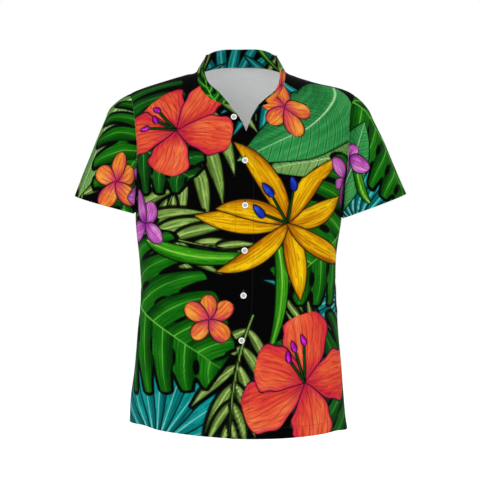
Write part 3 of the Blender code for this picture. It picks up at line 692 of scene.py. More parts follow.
# ---- print -------------------------------------------------------------------------------
# Colours of each ink: dark, middle, light, and of its rib or throat, from 0 to 255.
Ink = namedtuple("Ink", "dark mid light rib")
INKS = {
    "split": Ink((0, 50, 2), (14, 104, 8), (48, 150, 26), (120, 200, 74)),
    "deep": Ink((2, 40, 10), (10, 84, 14), (34, 124, 34), (96, 176, 78)),
    "sage": Ink((66, 96, 30), (120, 160, 68), (172, 204, 104), (208, 226, 146)),
    "broad": Ink((14, 92, 40), (38, 140, 66), (84, 172, 92), (184, 228, 168)),
    "pale": Ink((60, 110, 44), (98, 152, 72), (138, 184, 102), (206, 230, 174)),
    "ribbon": Ink((16, 84, 4), (44, 146, 12), (108, 192, 40), (176, 224, 96)),
    "teal": Ink((0, 82, 86), (0, 140, 136), (44, 182, 176), (150, 226, 218)),
    "yellow": Ink((178, 98, 0), (236, 176, 2), (255, 222, 20), (186, 104, 4)),
    "coral": Ink((206, 34, 52), (234, 84, 52), (250, 134, 76), (188, 20, 58)),
    "orange": Ink((214, 62, 90), (240, 132, 40), (253, 190, 92), (206, 44, 108)),
    "violet": Ink((156, 60, 152), (216, 112, 204), (240, 166, 230), (140, 36, 146)),
    "blue": Ink((10, 24, 110), (24, 56, 190), (70, 110, 232), (120, 150, 240)),
    "magenta": Ink((130, 0, 120), (206, 18, 200), (240, 90, 232), (250, 170, 244)),
}


def soft_noise(x, y, seed):
    """Smooth random values from 0 to 1 on a lattice of unit cells."""
    cx, cy = np.floor(x), np.floor(y)
    fx, fy = x - cx, y - cy
    fx, fy = fx * fx * (3 - 2 * fx), fy * fy * (3 - 2 * fy)

    def corner(i, j):
        wave = np.sin((cx + i) * 127.1 + (cy + j) * 311.7 + seed * 74.7) * 43758.5453
        return wave - np.floor(wave)

    low = corner(0, 0) * (1 - fx) + corner(1, 0) * fx
    high = corner(0, 1) * (1 - fx) + corner(1, 1) * fx
    return low * (1 - fy) + high * fy


def swell(t, rise, fall):
    """A width from 0 to 1 along a blade, steep near its base for a small rise."""
    t = np.clip(t, 0, 1)
    peak = rise / (rise + fall)
    return (t / peak) ** rise * ((1 - t) / (1 - peak)) ** fall


def stroke(away, width):
    """How strongly a line of a half width shows at a distance from its middle."""
    width = np.maximum(width, 0)
    drawn = np.maximum(width, THINNEST)
    return np.clip(1.3 - away / drawn, 0, 1) * (width / drawn) ** 0.7


def covered(inside):
    """How much of a point a motif covers, by how far inside its edge the point is."""
    return np.clip(inside / EDGE + 0.5, 0, 1)


def toned(ink, shade):
    """An ink from its dark (0) over its middle tone to its light (1)."""
    shade = np.clip(shade, 0, 1)[:, None]
    dark, mid, light = (np.array(colour, float) for colour in ink[:3])
    darker, lighter = dark + (mid - dark) * shade * 2, mid + (light - mid) * (shade * 2 - 1)
    return np.where(shade < 0.5, darker, lighter)


def blend(colour, other, amount):
    """Draws another colour over a colour, each by its amount from 0 to 1."""
    colour += (np.asarray(other, float) - colour) * np.clip(amount, 0, 1)[:, None]


class Cloth:
    """Colours at points of flat cloth, in millimetres, painted motif over motif.

    grain says how the fine lines of a motif run: how far along them and across them each point
    is, and how strongly they show. rim says how far inside the nearest edge a point is, below 0
    outside it, and how far from that edge on either side.
    """

    def __init__(self, s, t):
        self.s, self.t = np.ravel(s), np.ravel(t)
        self.rgb = np.tile(np.array(GROUND, float), (self.s.size, 1))
        self.grain = np.zeros((self.s.size, 3))
        self.rim = np.full((self.s.size, 3), RIM_REACH)
        self.rim[:, 2] = 0

    def lay(self, index, cover, colour, grain=(0, 0, 0)):
        """Lays a colour over the points of an index."""
        cover = np.clip(cover, 0, 1)[:, None]
        self.rgb[index] += (np.asarray(colour, float) - self.rgb[index]) * cover
        lines = np.stack(np.broadcast_arrays(*grain, cover[:, 0])[:3], axis=1)
        self.grain[index] = np.where(cover > 0.5, lines, self.grain[index])

    def edge(self, index, inside):
        """Marks the outline of a motif round the points that lie near it or in it."""
        near = inside > -RIM_REACH
        inside = np.clip(inside[near], -RIM_REACH, RIM_REACH)
        self.rim[index[near], :2] = np.stack([inside, np.abs(inside)], axis=1)

    def along(self, x, y, heading, length, width, bend, behind, beyond, beside):
        """Points near a bent midrib: which, how far along it, and how far to its left."""
        reach = length + width
        near = np.flatnonzero((np.abs(self.s - x) < reach) & (np.abs(self.t - y) < reach))
        px, py = self.s[near] - x, self.t[near] - y
        c, n = cos(heading), sin(heading)
        ahead, left = px * c + py * n, py * c - px * n
        if abs(bend) > 0.01:
            radius = length / abs(bend)
            turn = np.sign(bend)
            from_centre = radius - turn * left
            left = turn * (radius - np.hypot(ahead, from_centre))
            ahead = radius * np.arctan2(ahead, from_centre)
        kept = (ahead > -behind) & (ahead < beyond) & (np.abs(left) < beside)
        return near[kept], ahead[kept], left[kept]

    def blade(self, x, y, heading, length, width, ink, bend=0.0, rise=0.55, fall=0.95, rib=0.0,
              veins=0.0, lean=0.8, streak=0.5, line=1.6, ruffle=0.0, seed=0.0, flush=0.0,
              hatch=0, clear=OUTLINE):
        """One leaf, leaflet or petal: half its width is width."""
        near, u, v = self.along(
            x, y, heading, length, width, bend, 2, length + 2, width * 1.3 + 3
        )
        if near.size == 0:
            return
        t = u / length
        away = np.abs(v)
        half = width * swell(t, rise, fall)
        if ruffle:
            wave = np.sin(t * 17 + seed * 3 + np.sign(v) * 1.3)
            half = half * (1 + ruffle * wave * np.clip(t, 0, 1))
        inside = half - away
        tip = np.minimum(u, length - u)
        shadow = covered(inside + clear) * np.clip((tip + 1) / EDGE, 0, 1)
        self.lay(near, shadow * 0.9, GROUND)
        side = v / np.maximum(half, 1e-3)
        strokes = soft_noise(u / (length * 0.22) + seed, v / 2.6 + seed * 7, seed) - 0.5
        broad = soft_noise(u / (length * 0.35) + seed * 5, v / (width * 0.8) + seed, seed + 9) - 0.5
        shade = 0.54 + 0.26 * side - 0.30 * np.abs(side) ** 3
        colour = toned(ink, shade + streak * (0.9 * strokes + 0.7 * broad))
        dark = np.array(ink.dark, float)
        if flush:
            # the throat of a petal takes the rib's colour
            blend(colour, ink.rib, np.clip(1 - t / flush, 0, 1) ** 1.2)
        if veins:
            # side veins, dark with a pale line beside each
            q = (u - away * lean) / veins
            off = np.abs(q - np.round(q)) * veins
            shown = np.clip(away / 3, 0, 1)
            blend(colour, dark * 0.6, np.clip(1.3 - off / 1.4, 0, 1) * shown * 0.6)
            blend(colour, ink.rib, np.clip(1 - np.abs(off - 3.0) / 1.8, 0, 1) * 0.28 * shown)
        for k in range(hatch):
            # fine ink lines that run from the base to the tip
            level = (k + 0.75) / (hatch + 0.5)
            off = np.abs(np.abs(side + 0.05 * np.sin(t * 9 + k * 2 + seed)) - level) * half
            broken = soft_noise(u / 16 + k * 3.1 + seed, np.sign(v) * 2.0, seed + k) > 0.3
            blend(colour, dark * 0.5, stroke(off, 0.6) * broken * 0.6)
        if ruffle:
            blend(colour, PETAL_EDGE, np.clip(1 - inside / PETAL_EDGE_WIDTH, 0, 1) * 0.75)
        blend(colour, dark * 0.6, np.clip(1 - inside / (2 * line), 0, 1) * 0.6)
        if rib:
            blend(colour, ink.rib, stroke(away, rib * (1.15 - np.clip(t, 0, 1))))
        lines = (away, u - away * lean) if veins else (u, v)
        grain = (lines[0] + seed * 40, lines[1] + seed * 23, 1.0)
        self.lay(near, covered(inside) * covered(tip), colour, grain)
        self.edge(near, np.minimum(inside, tip))

    def split_leaf(self, x, y, heading, length, ink, bend=0.0, lobes=6, seed=0.0, wide=0.52):
        """A heart-shaped leaf cut into fingers from its edge, with small holes by its midrib."""
        width = length * wide
        near, u, v = self.along(
            x, y, heading, length, width, bend, length * 0.25, length * 1.02, width * 1.1
        )
        if near.size == 0:
            return
        t = u / length
        away = np.abs(v)
        # the back lobes reach behind the stalk
        shifted = np.clip((t + 0.16 * np.clip(away / width, 0, 1) ** 0.6) / 1.16, 0, 1)
        half = width * swell(shifted, 0.42, 0.82)
        share = away / np.maximum(half, 1e-3)
        hand = np.sign(v)
        lean = 0.62 + 0.10 * hand * sin(seed)
        spacing = length / lobes
        q = (u - away * lean * (0.8 + 0.5 * share)) / spacing + 0.25 * hand + seed
        cell = q - np.floor(q)
        off = np.abs(cell - 0.5) * 2  # 0 on a finger's vein, 1 between two fingers
        number = np.floor(q) * 2 + hand
        chance = soft_noise(number * 1.7 + seed, hand * 3.3, seed)
        start = 0.34 + 0.22 * chance
        gap = np.clip((share - start) / (1 - start), 0, 1) ** 0.6 * (0.42 + 0.24 * chance)
        finger = (1 - gap - off) * spacing * 0.5
        rounding = half * (1 - 0.20 * off**2.5)
        inside = np.minimum(rounding - away, np.where(share > start, finger, spacing))
        hole = np.hypot(
            (cell - 0.5 - 0.5 * np.sign(cell - 0.5)) * spacing,
            (share - 0.20 - 0.08 * chance) * half * 0.5,
        )
        inside = np.minimum(inside, np.where(chance > 0.3, hole - spacing * 0.12, spacing))
        inside = np.minimum(inside, np.minimum(u + length * 0.2, length - u))
        self.lay(near, covered(inside + CUT_CLEAR) * 0.97, GROUND)
        strokes = soft_noise(q * 4 + seed, away / 22, seed) - 0.5
        lit = np.clip((cell - 0.5) * hand, -0.5, 0.5)
        shade = 0.60 - 0.34 * off**1.5 + 0.55 * lit + 0.34 * strokes - 0.18 * share**2
        colour = toned(ink, shade)
        dark = np.array(ink.dark, float)
        # one pale vein to each finger, with a fine dark line on each side
        blend(colour, ink.rib, stroke(off * spacing * 0.5, 1.3 * (1.15 - share)) * 0.9)
        for place in (0.42, 0.72):
            hatched = stroke(np.abs(off - place) * spacing * 0.5, 0.7)
            blend(colour, dark * 0.5, hatched * 0.6 * (strokes > -0.22))
        blend(colour, dark * 0.6, np.clip(1 - inside / 3, 0, 1) * 0.6)
        blend(colour, ink.rib, stroke(away, 2.3 * (1.15 - np.clip(t, 0, 1))))
        grain = (away + seed * 40, q * spacing + seed * 23, 1.0)
        self.lay(near, covered(inside), colour, grain)
        self.edge(near, inside)

    def frond(self, x, y, heading, length, leaflet, ink, bend, pairs=7, slim=0.09, seed=0.0):
        """A feather-shaped palm leaf: a bent stem with slim leaflets in pairs."""
        for k in range(pairs):
            share = 0.12 + 0.86 * k / (pairs - 1)
            turn = bend * share
            radius = length / bend
            dx, dy = radius * sin(turn), radius * (1 - cos(turn))
            px = x + dx * cos(heading) - dy * sin(heading)
            py = y + dx * sin(heading) + dy * cos(heading)
            size = leaflet * (0.55 + 0.45 * sin(pi * min(1, share + 0.12)))
            for hand in (-1, 1):
                wobble = 0.10 * sin(seed + k * 2.3 + hand)
                aim = heading + turn + hand * (1.05 - 0.75 * share + wobble)
                self.blade(px, py, aim, size, size * slim, ink, bend=-hand * 0.35, rise=0.6,
                           fall=1.05, rib=1.0, hatch=2, seed=seed + k + hand * 0.4,
                           clear=LEAFLET_CLEAR)
        self.blade(x, y, heading, length * 1.02, 2.4, ink, bend=bend * 1.02, rise=0.05, fall=0.3,
                   streak=0.2, line=0.6, seed=seed)

    def fan(self, x, y, heading, radius, sweep, ink, blades=10, slim=0.066, seed=0.0):
        """A fan palm: pointed blades that spread from one hub."""
        for k in range(blades):
            share = k / (blades - 1) - 0.5
            length = radius * (1 - 0.35 * abs(share) ** 1.5 + 0.09 * sin(seed + 2.7 * k))
            self.blade(x, y, heading + sweep * share, length, radius * slim, ink,
                       bend=0.3 * share, rise=1.2, fall=1.15, rib=1.2, hatch=1,
                       seed=seed + 0.7 * k)

    def flower(self, x, y, heading, length, form, seed):
        """Petals all round a centre, each second one first where form says so."""
        ink, uneven = INKS[form.ink], form.uneven
        for k in (k for first in range(form.skip) for k in range(first, form.petals, form.skip)):
            turn = heading + 2 * pi * k / form.petals + uneven * sin(seed + 1.9 * k)
            long = length * (1 + uneven * sin(seed * 2 + 2.6 * k))
            width = length * form.width * (1 + 0.5 * uneven * sin(seed + 3.1 * k))
            self.blade(x, y, turn, long, width, ink, bend=form.bend * sin(seed + 1.3 * k),
                       rise=form.rise, fall=form.fall, rib=1.2, line=2.2, ruffle=form.ruffle,
                       flush=form.flush, hatch=form.hatch, seed=seed + k)

    def stamens(self, x, y, heading, reach, size, ink, seed, spread, count=3):
        """Thin threads that end in small pods."""
        for k in range(count):
            turn = heading + spread * (k / (count - 1) - 0.5) * 2
            far = reach * (0.86 + 0.14 * sin(seed + 2 * k))
            self.blade(x, y, turn, far, 1.7, INKS["deep"], rise=0.05, fall=0.1, streak=0.0,
                       line=0.3, seed=seed)
            px, py = x + far * cos(turn), y + far * sin(turn)
            tilt = turn + 0.5 * sin(seed + 2 * k)
            self.blade(px - size * 0.3 * cos(tilt), py - size * 0.3 * sin(tilt), tilt, size,
                       size * 0.22, ink, rise=0.5, fall=0.8, streak=0.6, seed=seed + k)


# Single blades: ink, half width as a share of the length, and how each is drawn.
BLADES = {
    "pale": ("pale", 0.17, {"rise": 0.7, "rib": 2.0, "veins": 19}),
    "broad": ("broad", 0.19, {"rise": 0.62, "rib": 2.2, "veins": 23, "lean": 1.0}),
    "faded": ("pale", 0.19, {"rise": 0.62, "rib": 2.2, "veins": 23, "lean": 1.0}),
    "ribbon": ("ribbon", 0.05, {"rise": 0.5, "fall": 1.1, "rib": 1.2, "hatch": 1}),
}
# Flowers: width is half a petal's width as a share of its length.
Flower = namedtuple("Flower", "ink petals skip width bend rise fall ruffle flush uneven hatch")
FLOWERS = {
    "hibiscus": Flower("coral", 5, 2, 0.40, 0.5, 1.0, 0.38, 0.09, 0.40, 0.12, 3),
    "lance": Flower("yellow", 8, 2, 0.125, 0.8, 0.8, 0.95, 0, 0.22, 0.16, 2),
    "plumeria": Flower("orange", 5, 1, 0.34, 0.6, 0.8, 0.5, 0, 0.5, 0.08, 1),
    "blossom": Flower("violet", 4, 1, 0.30, 0.7, 0.8, 0.7, 0, 0.4, 0.25, 2),
}
# Stamens: ink, turn from the flower's heading, reach as a share of a petal, and spread.
STAMENS = {"hibiscus": ("magenta", 0.6, 0.66, 0.30), "lance": ("blue", 0.35, 0.45, 0.7)}
POD = 0.20  # length of a stamen's pod as a share of a petal
FAN_SWEEP = radians(150)
# Where each motif lies on its piece of cloth, painted in this order: kind, s, t, heading, size,
# bend and seed. On the body, s runs from the middle towards the wearer's left and t is the
# height. On a sleeve, s runs round from its top to its front, and t up from the hem. On the
# collar, s runs from its middle to its left.
FRONT_PRINT = (
    ("fan", -160, -725, 80, 270, 0, 1.3), ("fan", 235, -445, 160, 190, 0, 0.4),
    ("fan", 60, 20, 250, 170, 0, 2.2), ("frond", 215, -740, 100, 280, 0.4, 3.1),
    ("frond", -60, 20, 262, 330, -0.35, 0.7), ("frond", -330, -250, -30, 300, 0.4, 4.4),
    ("frond", 20, -470, 250, 240, 0.4, 5.2), ("pale", 330, -130, 185, 300, 0.3, 4.0),
    ("broad", 250, 10, 226, 330, -0.35, 2.0), ("split", 345, -250, 205, 320, 0.25, 1.1),
    ("deep", -345, -60, -22, 290, -0.35, 2.4), ("split", -340, -420, -18, 340, -0.3, 0.2),
    ("deep", 330, -640, 160, 300, 0.3, 3.3), ("ribbon", -200, -330, -25, 300, 0.8, 6.0),
    ("ribbon", 60, -330, 285, 250, -0.7, 7.0), ("hibiscus", -132, -104, 120, 106, 0, 2.6),
    ("hibiscus", 124, -600, 75, 118, 0, 1.0), ("lance", 80, -300, 100, 164, 0, 0.8),
    ("plumeria", 86, -66, 80, 56, 0, 0.4), ("plumeria", -62, -480, 20, 50, 0, 1.4),
    ("blossom", -205, -300, 40, 62, 0, 2.2), ("blossom", 222, -205, 110, 56, 0, 0.9),
)
BACK_PRINT = (
    ("fan", 150, -725, 100, 270, 0, 1.7), ("fan", -250, -470, 20, 190, 0, 0.9),
    ("fan", -40, 20, 280, 180, 0, 2.9), ("frond", -215, -740, 80, 280, -0.4, 3.5),
    ("frond", 60, 20, 278, 330, 0.35, 0.2), ("frond", 330, -250, 210, 300, -0.4, 4.1),
    ("frond", -20, -480, 290, 240, -0.4, 5.8), ("pale", -330, -130, -5, 300, -0.3, 4.6),
    ("broad", -255, -10, -48, 330, 0.35, 2.5), ("split", -345, -230, -25, 320, -0.25, 1.5),
    ("deep", 345, -60, 202, 290, 0.35, 2.0), ("split", 340, -400, 198, 340, 0.3, 0.9),
    ("deep", -335, -640, 20, 300, -0.3, 3.9), ("ribbon", 200, -310, 205, 300, -0.8, 6.5),
    ("ribbon", -70, -340, 255, 250, 0.7, 7.4), ("hibiscus", 118, -122, 60, 108, 0, 3.2),
    ("hibiscus", -104, -590, 105, 118, 0, 1.6), ("lance", -80, -310, 80, 158, 0, 1.4),
    ("plumeria", -96, -84, 80, 56, 0, 1.1), ("plumeria", 78, -490, 20, 52, 0, 1.9),
    ("blossom", 214, -290, 40, 62, 0, 2.9), ("blossom", -228, -215, 110, 56, 0, 0.3),
)
SLEEVE_LEFT_PRINT = (
    ("fan", 160, -20, 110, 190, 0, 2.3), ("fan", -190, 20, 60, 170, 0, 1.3),
    ("frond", -60, -20, 100, 230, 0.5, 1.3), ("frond", 60, 230, 300, 210, 0.5, 1.9),
    ("split", 40, 265, 262, 280, 0.3, 0.6), ("deep", -170, 260, 285, 260, -0.3, 2.8),
    ("broad", 215, 10, 125, 220, 0.4, 3.0), ("ribbon", 120, 10, 70, 190, 0.7, 3.0),
    ("hibiscus", -140, 70, 60, 90, 0, 3.0), ("blossom", 150, 110, 60, 52, 0, 1.0),
)
SLEEVE_RIGHT_PRINT = (
    ("fan", -150, -20, 70, 190, 0, 1.3), ("frond", 60, -20, 100, 240, -0.5, 2.3),
    ("frond", -60, 240, 240, 210, -0.5, 0.9), ("faded", 25, 235, 285, 240, -0.35, 1.0),
    ("split", 200, 270, 250, 290, 0.3, 1.6), ("deep", -190, 245, 290, 260, -0.3, 3.8),
    ("ribbon", -100, 20, 75, 190, -0.7, 3.6), ("hibiscus", -90, 80, 120, 88, 0, 2.1),
    ("plumeria", 120, 50, 30, 54, 0, 2.6), ("blossom", 205, 60, 60, 56, 0, 1.6),
)
COLLAR_PRINT = (
    ("fan", -20, -70, 95, 170, 0, 1.0), ("fan", -170, -60, 70, 150, 0, 2.0),
    ("fan", 110, -60, 80, 150, 0, 0.4), ("frond", 40, -30, 30, 170, -0.5, 3.0),
    ("frond", -60, 70, 215, 140, 0.5, 2.1), ("broad", 250, 60, 195, 170, 0.3, 1.2),
    ("split", -270, -20, 25, 130, 0.3, 2.2), ("ribbon", 10, 70, 300, 120, 0.7, 4.0),
    ("plumeria", 190, 8, 60, 48, 0, 1.5),
)


def paint(cloth, motifs):
    """Draws a print's motifs in their order."""
    for kind, x, y, heading, size, bend, seed in motifs:
        heading = radians(heading)
        if kind == "fan":
            cloth.fan(x, y, heading, size, FAN_SWEEP, INKS["teal"], seed=seed)
        elif kind == "frond":
            cloth.frond(x, y, heading, size, size * 0.5, INKS["sage"], bend, seed=seed)
        elif kind in BLADES:
            ink, width, looks = BLADES[kind]
            cloth.blade(x, y, heading, size, size * width, INKS[ink], bend, seed=seed, **looks)
        elif kind in FLOWERS:
            cloth.flower(x, y, heading, size, FLOWERS[kind], seed)
            if kind in STAMENS:
                ink, turn, reach, spread = STAMENS[kind]
                reach, pod = size * reach, size * POD
                cloth.stamens(x, y, heading + turn, reach, pod, INKS[ink], seed, spread)
        else:
            cloth.split_leaf(x, y, heading, size, INKS[kind], bend, seed=seed)


def to_linear(colour):
    share = np.asarray(colour, float) / 255
    return np.where(share <= 0.04045, share / 12.92, ((share + 0.055) / 1.055) ** 2.4)


# ---- materials ---------------------------------------------------------------------------
class Nodes:
    """A new material's nodes."""

    def __init__(self, name):
        self.material = bpy.data.materials.new(name)
        self.material.use_nodes = True
        self.tree = self.material.node_tree

    def set(self, node, inputs):
        """Gives a node's inputs, by name or number, each a constant or a socket."""
        for name, value in inputs.items():
            if isinstance(value, bpy.types.NodeSocket):
                self.tree.links.new(value, node.inputs[name])
            else:
                node.inputs[name].default_value = value

    def add(self, kind, inputs, **settings):
        """A new node's outputs."""
        node = self.tree.nodes.new("ShaderNode" + kind)
        for name, value in settings.items():
            setattr(node, name, value)
        self.set(node, inputs)
        return node.outputs

    def finish(self, inputs):
        """Gives the shader's inputs and returns the material."""
        self.set(self.tree.nodes["Principled BSDF"], inputs)
        return self.material

    def math(self, operation, *values, clamp=False):
        inputs = dict(enumerate(values))
        return self.add("Math", inputs, operation=operation, use_clamp=clamp)[0]

    def vector(self, name):
        """A vector that the mesh holds, whole and split."""
        vector = self.add("Attribute", {}, attribute_name=name)["Vector"]
        return vector, self.add("SeparateXYZ", {0: vector})

    def noise(self, vector, scale, detail):
        return self.add("TexNoise", {"Vector": vector, "Scale": scale, "Detail": detail})["Fac"]

    def between(self, value, low, high):
        return self.add("MapRange", {"Value": value, "To Min": low, "To Max": high})["Result"]

    def stretched(self, vector, scale):
        return self.add("Mapping", {"Vector": vector, "Scale": scale})["Vector"]

    def ramp(self, value, low, high, places=(0.0, 1.0)):
        """A colour that runs from one to another between two places."""
        output = self.add("ValToRGB", {"Fac": value})["Color"]
        for stop, colour, place in zip(output.node.color_ramp.elements, (low, high), places):
            stop.color = (*colour, 1)
            stop.position = place
        return output

    def bump(self, height, distance, strength=1.0):
        inputs = {"Height": height, "Distance": distance, "Strength": strength}
        return self.add("Bump", inputs)["Normal"]


def cloth_material(name, sheen, rough, uneven):
    """Printed plain-weave cloth: its colours are the mesh's own, and its threads are relief."""
    nodes = Nodes(name)
    math = nodes.math
    place, at = nodes.vector("cloth")
    line = nodes.vector("stitch")[1]
    grain, part = nodes.vector("grain")
    edge = nodes.vector("rim")[1]

    # threads over and under each other
    turns = 2 * pi / THREAD_PITCH
    warp, weft = (math("SINE", math("MULTIPLY", at[axis], turns)) for axis in "XY")
    weave = math("MULTIPLY", warp, weft)
    # slubs: a thread here and there is thicker
    slub = nodes.noise(nodes.stretched(place, (1.4, 0.06, 1.0)), 1.0, 2.0)

    # stitching: short dashes along each line, in a shallow groove
    across = math("ABSOLUTE", line["X"])
    groove = math("MAXIMUM", math("SUBTRACT", 1.0, math("DIVIDE", across, STITCH_GROOVE)), 0.0)
    phase = math("FRACT", math("DIVIDE", line["Y"], STITCH_PITCH))
    dash = math("LESS_THAN", phase, STITCH_SHARE)
    thread = math("MULTIPLY", math("LESS_THAN", across, STITCH_HALF), dash)

    # the ink lies a little unevenly, with fine lines that run along each leaf and petal
    lines = nodes.noise(nodes.stretched(grain, (0.045, 0.75, 0.0)), 1.0, 3.0)
    drawn = math("MULTIPLY", math("SUBTRACT", lines, 0.5), LINE_DEPTH)
    drawn = math("MULTIPLY", drawn, part["Z"])
    tone = nodes.between(nodes.noise(place, 0.09, 4.0), 1 - uneven, 1 + uneven)
    # painted light and shade in the weave: the colour is lighter where the threads and slubs rise
    # in the bump, and darker where they sink
    tone = math("MULTIPLY_ADD", slub, 0.05, math("MULTIPLY_ADD", weave, 0.05, tone))
    tone = math("ADD", tone, drawn)

    # a thin dark line round each motif
    dark = math("DIVIDE", math("ABSOLUTE", edge["X"]), -OUTLINE_HALF)
    dark = math("ADD", dark, 1.4, clamp=True)
    close = math("SUBTRACT", 0.8 * RIM_REACH, edge["Y"], clamp=True)
    outline = math("MULTIPLY", dark, close)
    tone = math("MULTIPLY", tone, math("MULTIPLY_ADD", outline, -0.85, 1.0))

    ink = nodes.add("Attribute", {}, attribute_name="print")["Color"]
    tinted = nodes.add("VectorMath", {0: ink, "Scale": tone}, operation="SCALE")["Vector"]
    sewn = {"Factor": math("MULTIPLY", thread, 0.75), "A": tinted, "B": (*THREAD_COLOUR, 1.0)}
    relief = math("MULTIPLY_ADD", slub, 0.10, math("MULTIPLY", weave, 0.06))
    relief = math("MULTIPLY_ADD", groove, -0.22, relief)
    relief = math("MULTIPLY_ADD", thread, 0.20, relief)
    return nodes.finish({
        "Base Color": nodes.add("Mix", sewn, data_type="RGBA")["Result"],
        "Normal": nodes.bump(relief, MM, 0.6),
        "Roughness": nodes.between(slub, rough - 0.05, rough + 0.07),
        "Specular IOR Level": 0.03,
        "Sheen Weight": sheen,
        "Sheen Roughness": 0.5,
    })


def button_material():
    """White polished resin with a faint cloudy grain, and painted shade that greys its dish more
    than its rim.
    """
    nodes = Nodes("button_resin")
    math = nodes.math
    spot = nodes.add("TexCoord", {})["Object"]
    cloud = nodes.noise(spot, 260.0, 5.0)
    at = nodes.add("SeparateXYZ", {0: spot})
    squares = [math("MULTIPLY", at[axis], at[axis]) for axis in "XY"]
    # painted shade: the colour runs from grey in the dish to white on the rim, by the distance from
    # the middle
    radius = math("DIVIDE", math("SQRT", math("ADD", *squares)), BUTTON_RADIUS * MM)
    place = math("MULTIPLY_ADD", cloud, 0.12, radius)
    return nodes.finish({
        "Base Color": nodes.ramp(place, BUTTON_DISH_SHADE, BUTTON_WHITE, (0.55, 0.92)),
        "Roughness": nodes.between(cloud, 0.18, 0.34),
        "Coat Weight": 0.2,
    })


def thread_material(name, colour):
    """Twisted sewing thread, its colour darker in the grooves of its twist as painted shade."""
    nodes = Nodes(name)
    spot = nodes.add("TexCoord", {})["Object"]
    twist = nodes.add("TexWave", {"Vector": spot, "Scale": 900.0, "Distortion": 2.0})["Fac"]
    return nodes.finish({
        # painted shade: darker where the twist's bump sinks, full colour where it rises
        "Base Color": nodes.ramp(twist, [0.7 * level for level in colour], colour),
        "Normal": nodes.bump(twist, 0.1 * MM),
        "Roughness": 0.7,
    })


# ---- pieces of cloth ---------------------------------------------------------------------
def split_by_colour(mesh, colour):
    """Cuts each quad of the right side where the two ends of the cut are more alike."""
    points = np.zeros(len(mesh.vertices) * 3, np.float32)
    mesh.vertices.foreach_get("co", points)
    faces, sides = [], []
    for polygon in mesh.polygons:
        ring = list(polygon.vertices)
        sides.append(polygon.material_index)
        if len(ring) != 4 or polygon.material_index:
            faces.append(ring)
            continue
        apart = np.abs(colour[ring[:2]] - colour[ring[2:]]).sum(axis=1)
        a, b, c, d = ring if apart[0] <= apart[1] else ring[1:] + ring[:1]
        faces += [(a, b, c), (a, c, d)]
        sides.append(0)
    mesh.clear_geometry()
    mesh.from_pydata(points.reshape(-1, 3), [], faces)
    mesh.polygons.foreach_set("material_index", sides)
    mesh.shade_smooth()


def make_piece(node, grid, out, s, t, motifs, stitch, folded, materials, pale=0.0, **form):
    """A piece of cloth in a node's place, with its colours, its print and its stitching.

    s and t are its places on the cloth. folded is 1 where the cloth is turned in, so that its
    right side shows inside too, and pale is 1 where its rim shows the bare thread.
    """
    obj, source, layer = shell(f"cloth_{node}", grid, out, **form)
    mesh = obj.data
    cloth = Cloth(s, t)
    paint(cloth, motifs)
    colour, grain, edges = (value[source] for value in (cloth.rgb, cloth.grain, cloth.rim))
    colour = np.clip(colour, 0, 255)
    inside = (layer == 1) & (folded.ravel()[source] < 0.5)
    grain[inside] = 0
    edges[inside] = RIM_REACH
    split_by_colour(mesh, colour)
    plain = np.array(WRONG_SIDE, float)
    colour[inside] = plain + (colour[inside] - plain) * SHOW_THROUGH
    bare = (np.broadcast_to(pale, s.shape).ravel()[source] * (layer == 2))[:, None]
    colour += (plain - colour) * bare * RIM_BARE
    rgba = np.ones((len(source), 4), np.float32)
    rgba[:, :3] = to_linear(colour)
    rgba[~inside, :3] *= PRINT_DEPTH
    attribute = mesh.color_attributes.new(name="print", type="FLOAT_COLOR", domain="POINT")
    attribute.data.foreach_set("color", rgba.ravel())
    place = np.stack([s, t, 0 * s], axis=-1).reshape(-1, 3)[source]
    line = stitch.reshape(-1, 3)[source]
    for name, value in {"cloth": place, "stitch": line, "grain": grain, "rim": edges}.items():
        attribute = mesh.attributes.new(name, "FLOAT_VECTOR", "POINT")
        attribute.data.foreach_set("vector", value.astype(np.float32).ravel())
    for material in materials:
        mesh.materials.append(material)
    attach(obj, "root")
    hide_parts(node)
    return obj


def stitch_lines(*lines):
    """For each point the nearest line of stitches: how far across it, and how far along."""
    across, along = (np.stack([pair[n] for pair in lines]) for n in (0, 1))
    nearest = np.abs(across).argmin(axis=0)[None]
    across, along = (np.take_along_axis(value, nearest, 0)[0] for value in (across, along))
    return np.stack([across, along, 0 * across], axis=-1)


def faced(grid, side):
    """Normals that point away from the body's middle; side is -1 in front and 1 behind."""
    out = grid_normals(grid)
    middle = (grid.shape[0] // 3, grid.shape[1] // 2)
    return out if out[middle][1] * side > 0 else -out


def measured(grid):
    """How far each point lies from the first row, and how far from the first column."""
    return lengths_along(grid), lengths_along(grid.swapaxes(0, 1)).swapaxes(0, 1)


def area_of(grid, closed=False):
    """Area of a piece in square metres."""
    if closed:
        grid = np.concatenate([grid, grid[:, :1]], axis=1)
    a = grid[1:, 1:] - grid[:-1, :-1]
    b = grid[1:, :-1] - grid[:-1, 1:]
    return float(np.linalg.norm(np.cross(a, b), axis=-1).sum() / 2 * MM**2)


def make_front(hand, grid, out, materials):
    up, over = measured(grid)
    t = up - up[FRONT_MESH.skirt] + UNDERARM
    edge_x, edge_z = grid[:, 0, 0], grid[:, 0, 2]
    s = (edge_x - FRONT_EDGE.at("buttons", edge_z))[:, None] + hand * over
    shaped = dip(grid, out, np.minimum(over[:, -1:] - over, up[-1] - up))
    stitch = stitch_lines((up - HEM_STITCH, s), (over - PLACKET_STITCH, t))
    folded = (up < HEM_STITCH) | (over < PLACKET_STITCH)
    pale = ease((grid[..., 2] - LAP_TOP) / RIM_FADE) * (over < 1)
    node = "front_left" if hand > 0 else "front_right"
    return make_piece(node, shaped, out, s, t, FRONT_PRINT, stitch, folded, materials, pale)


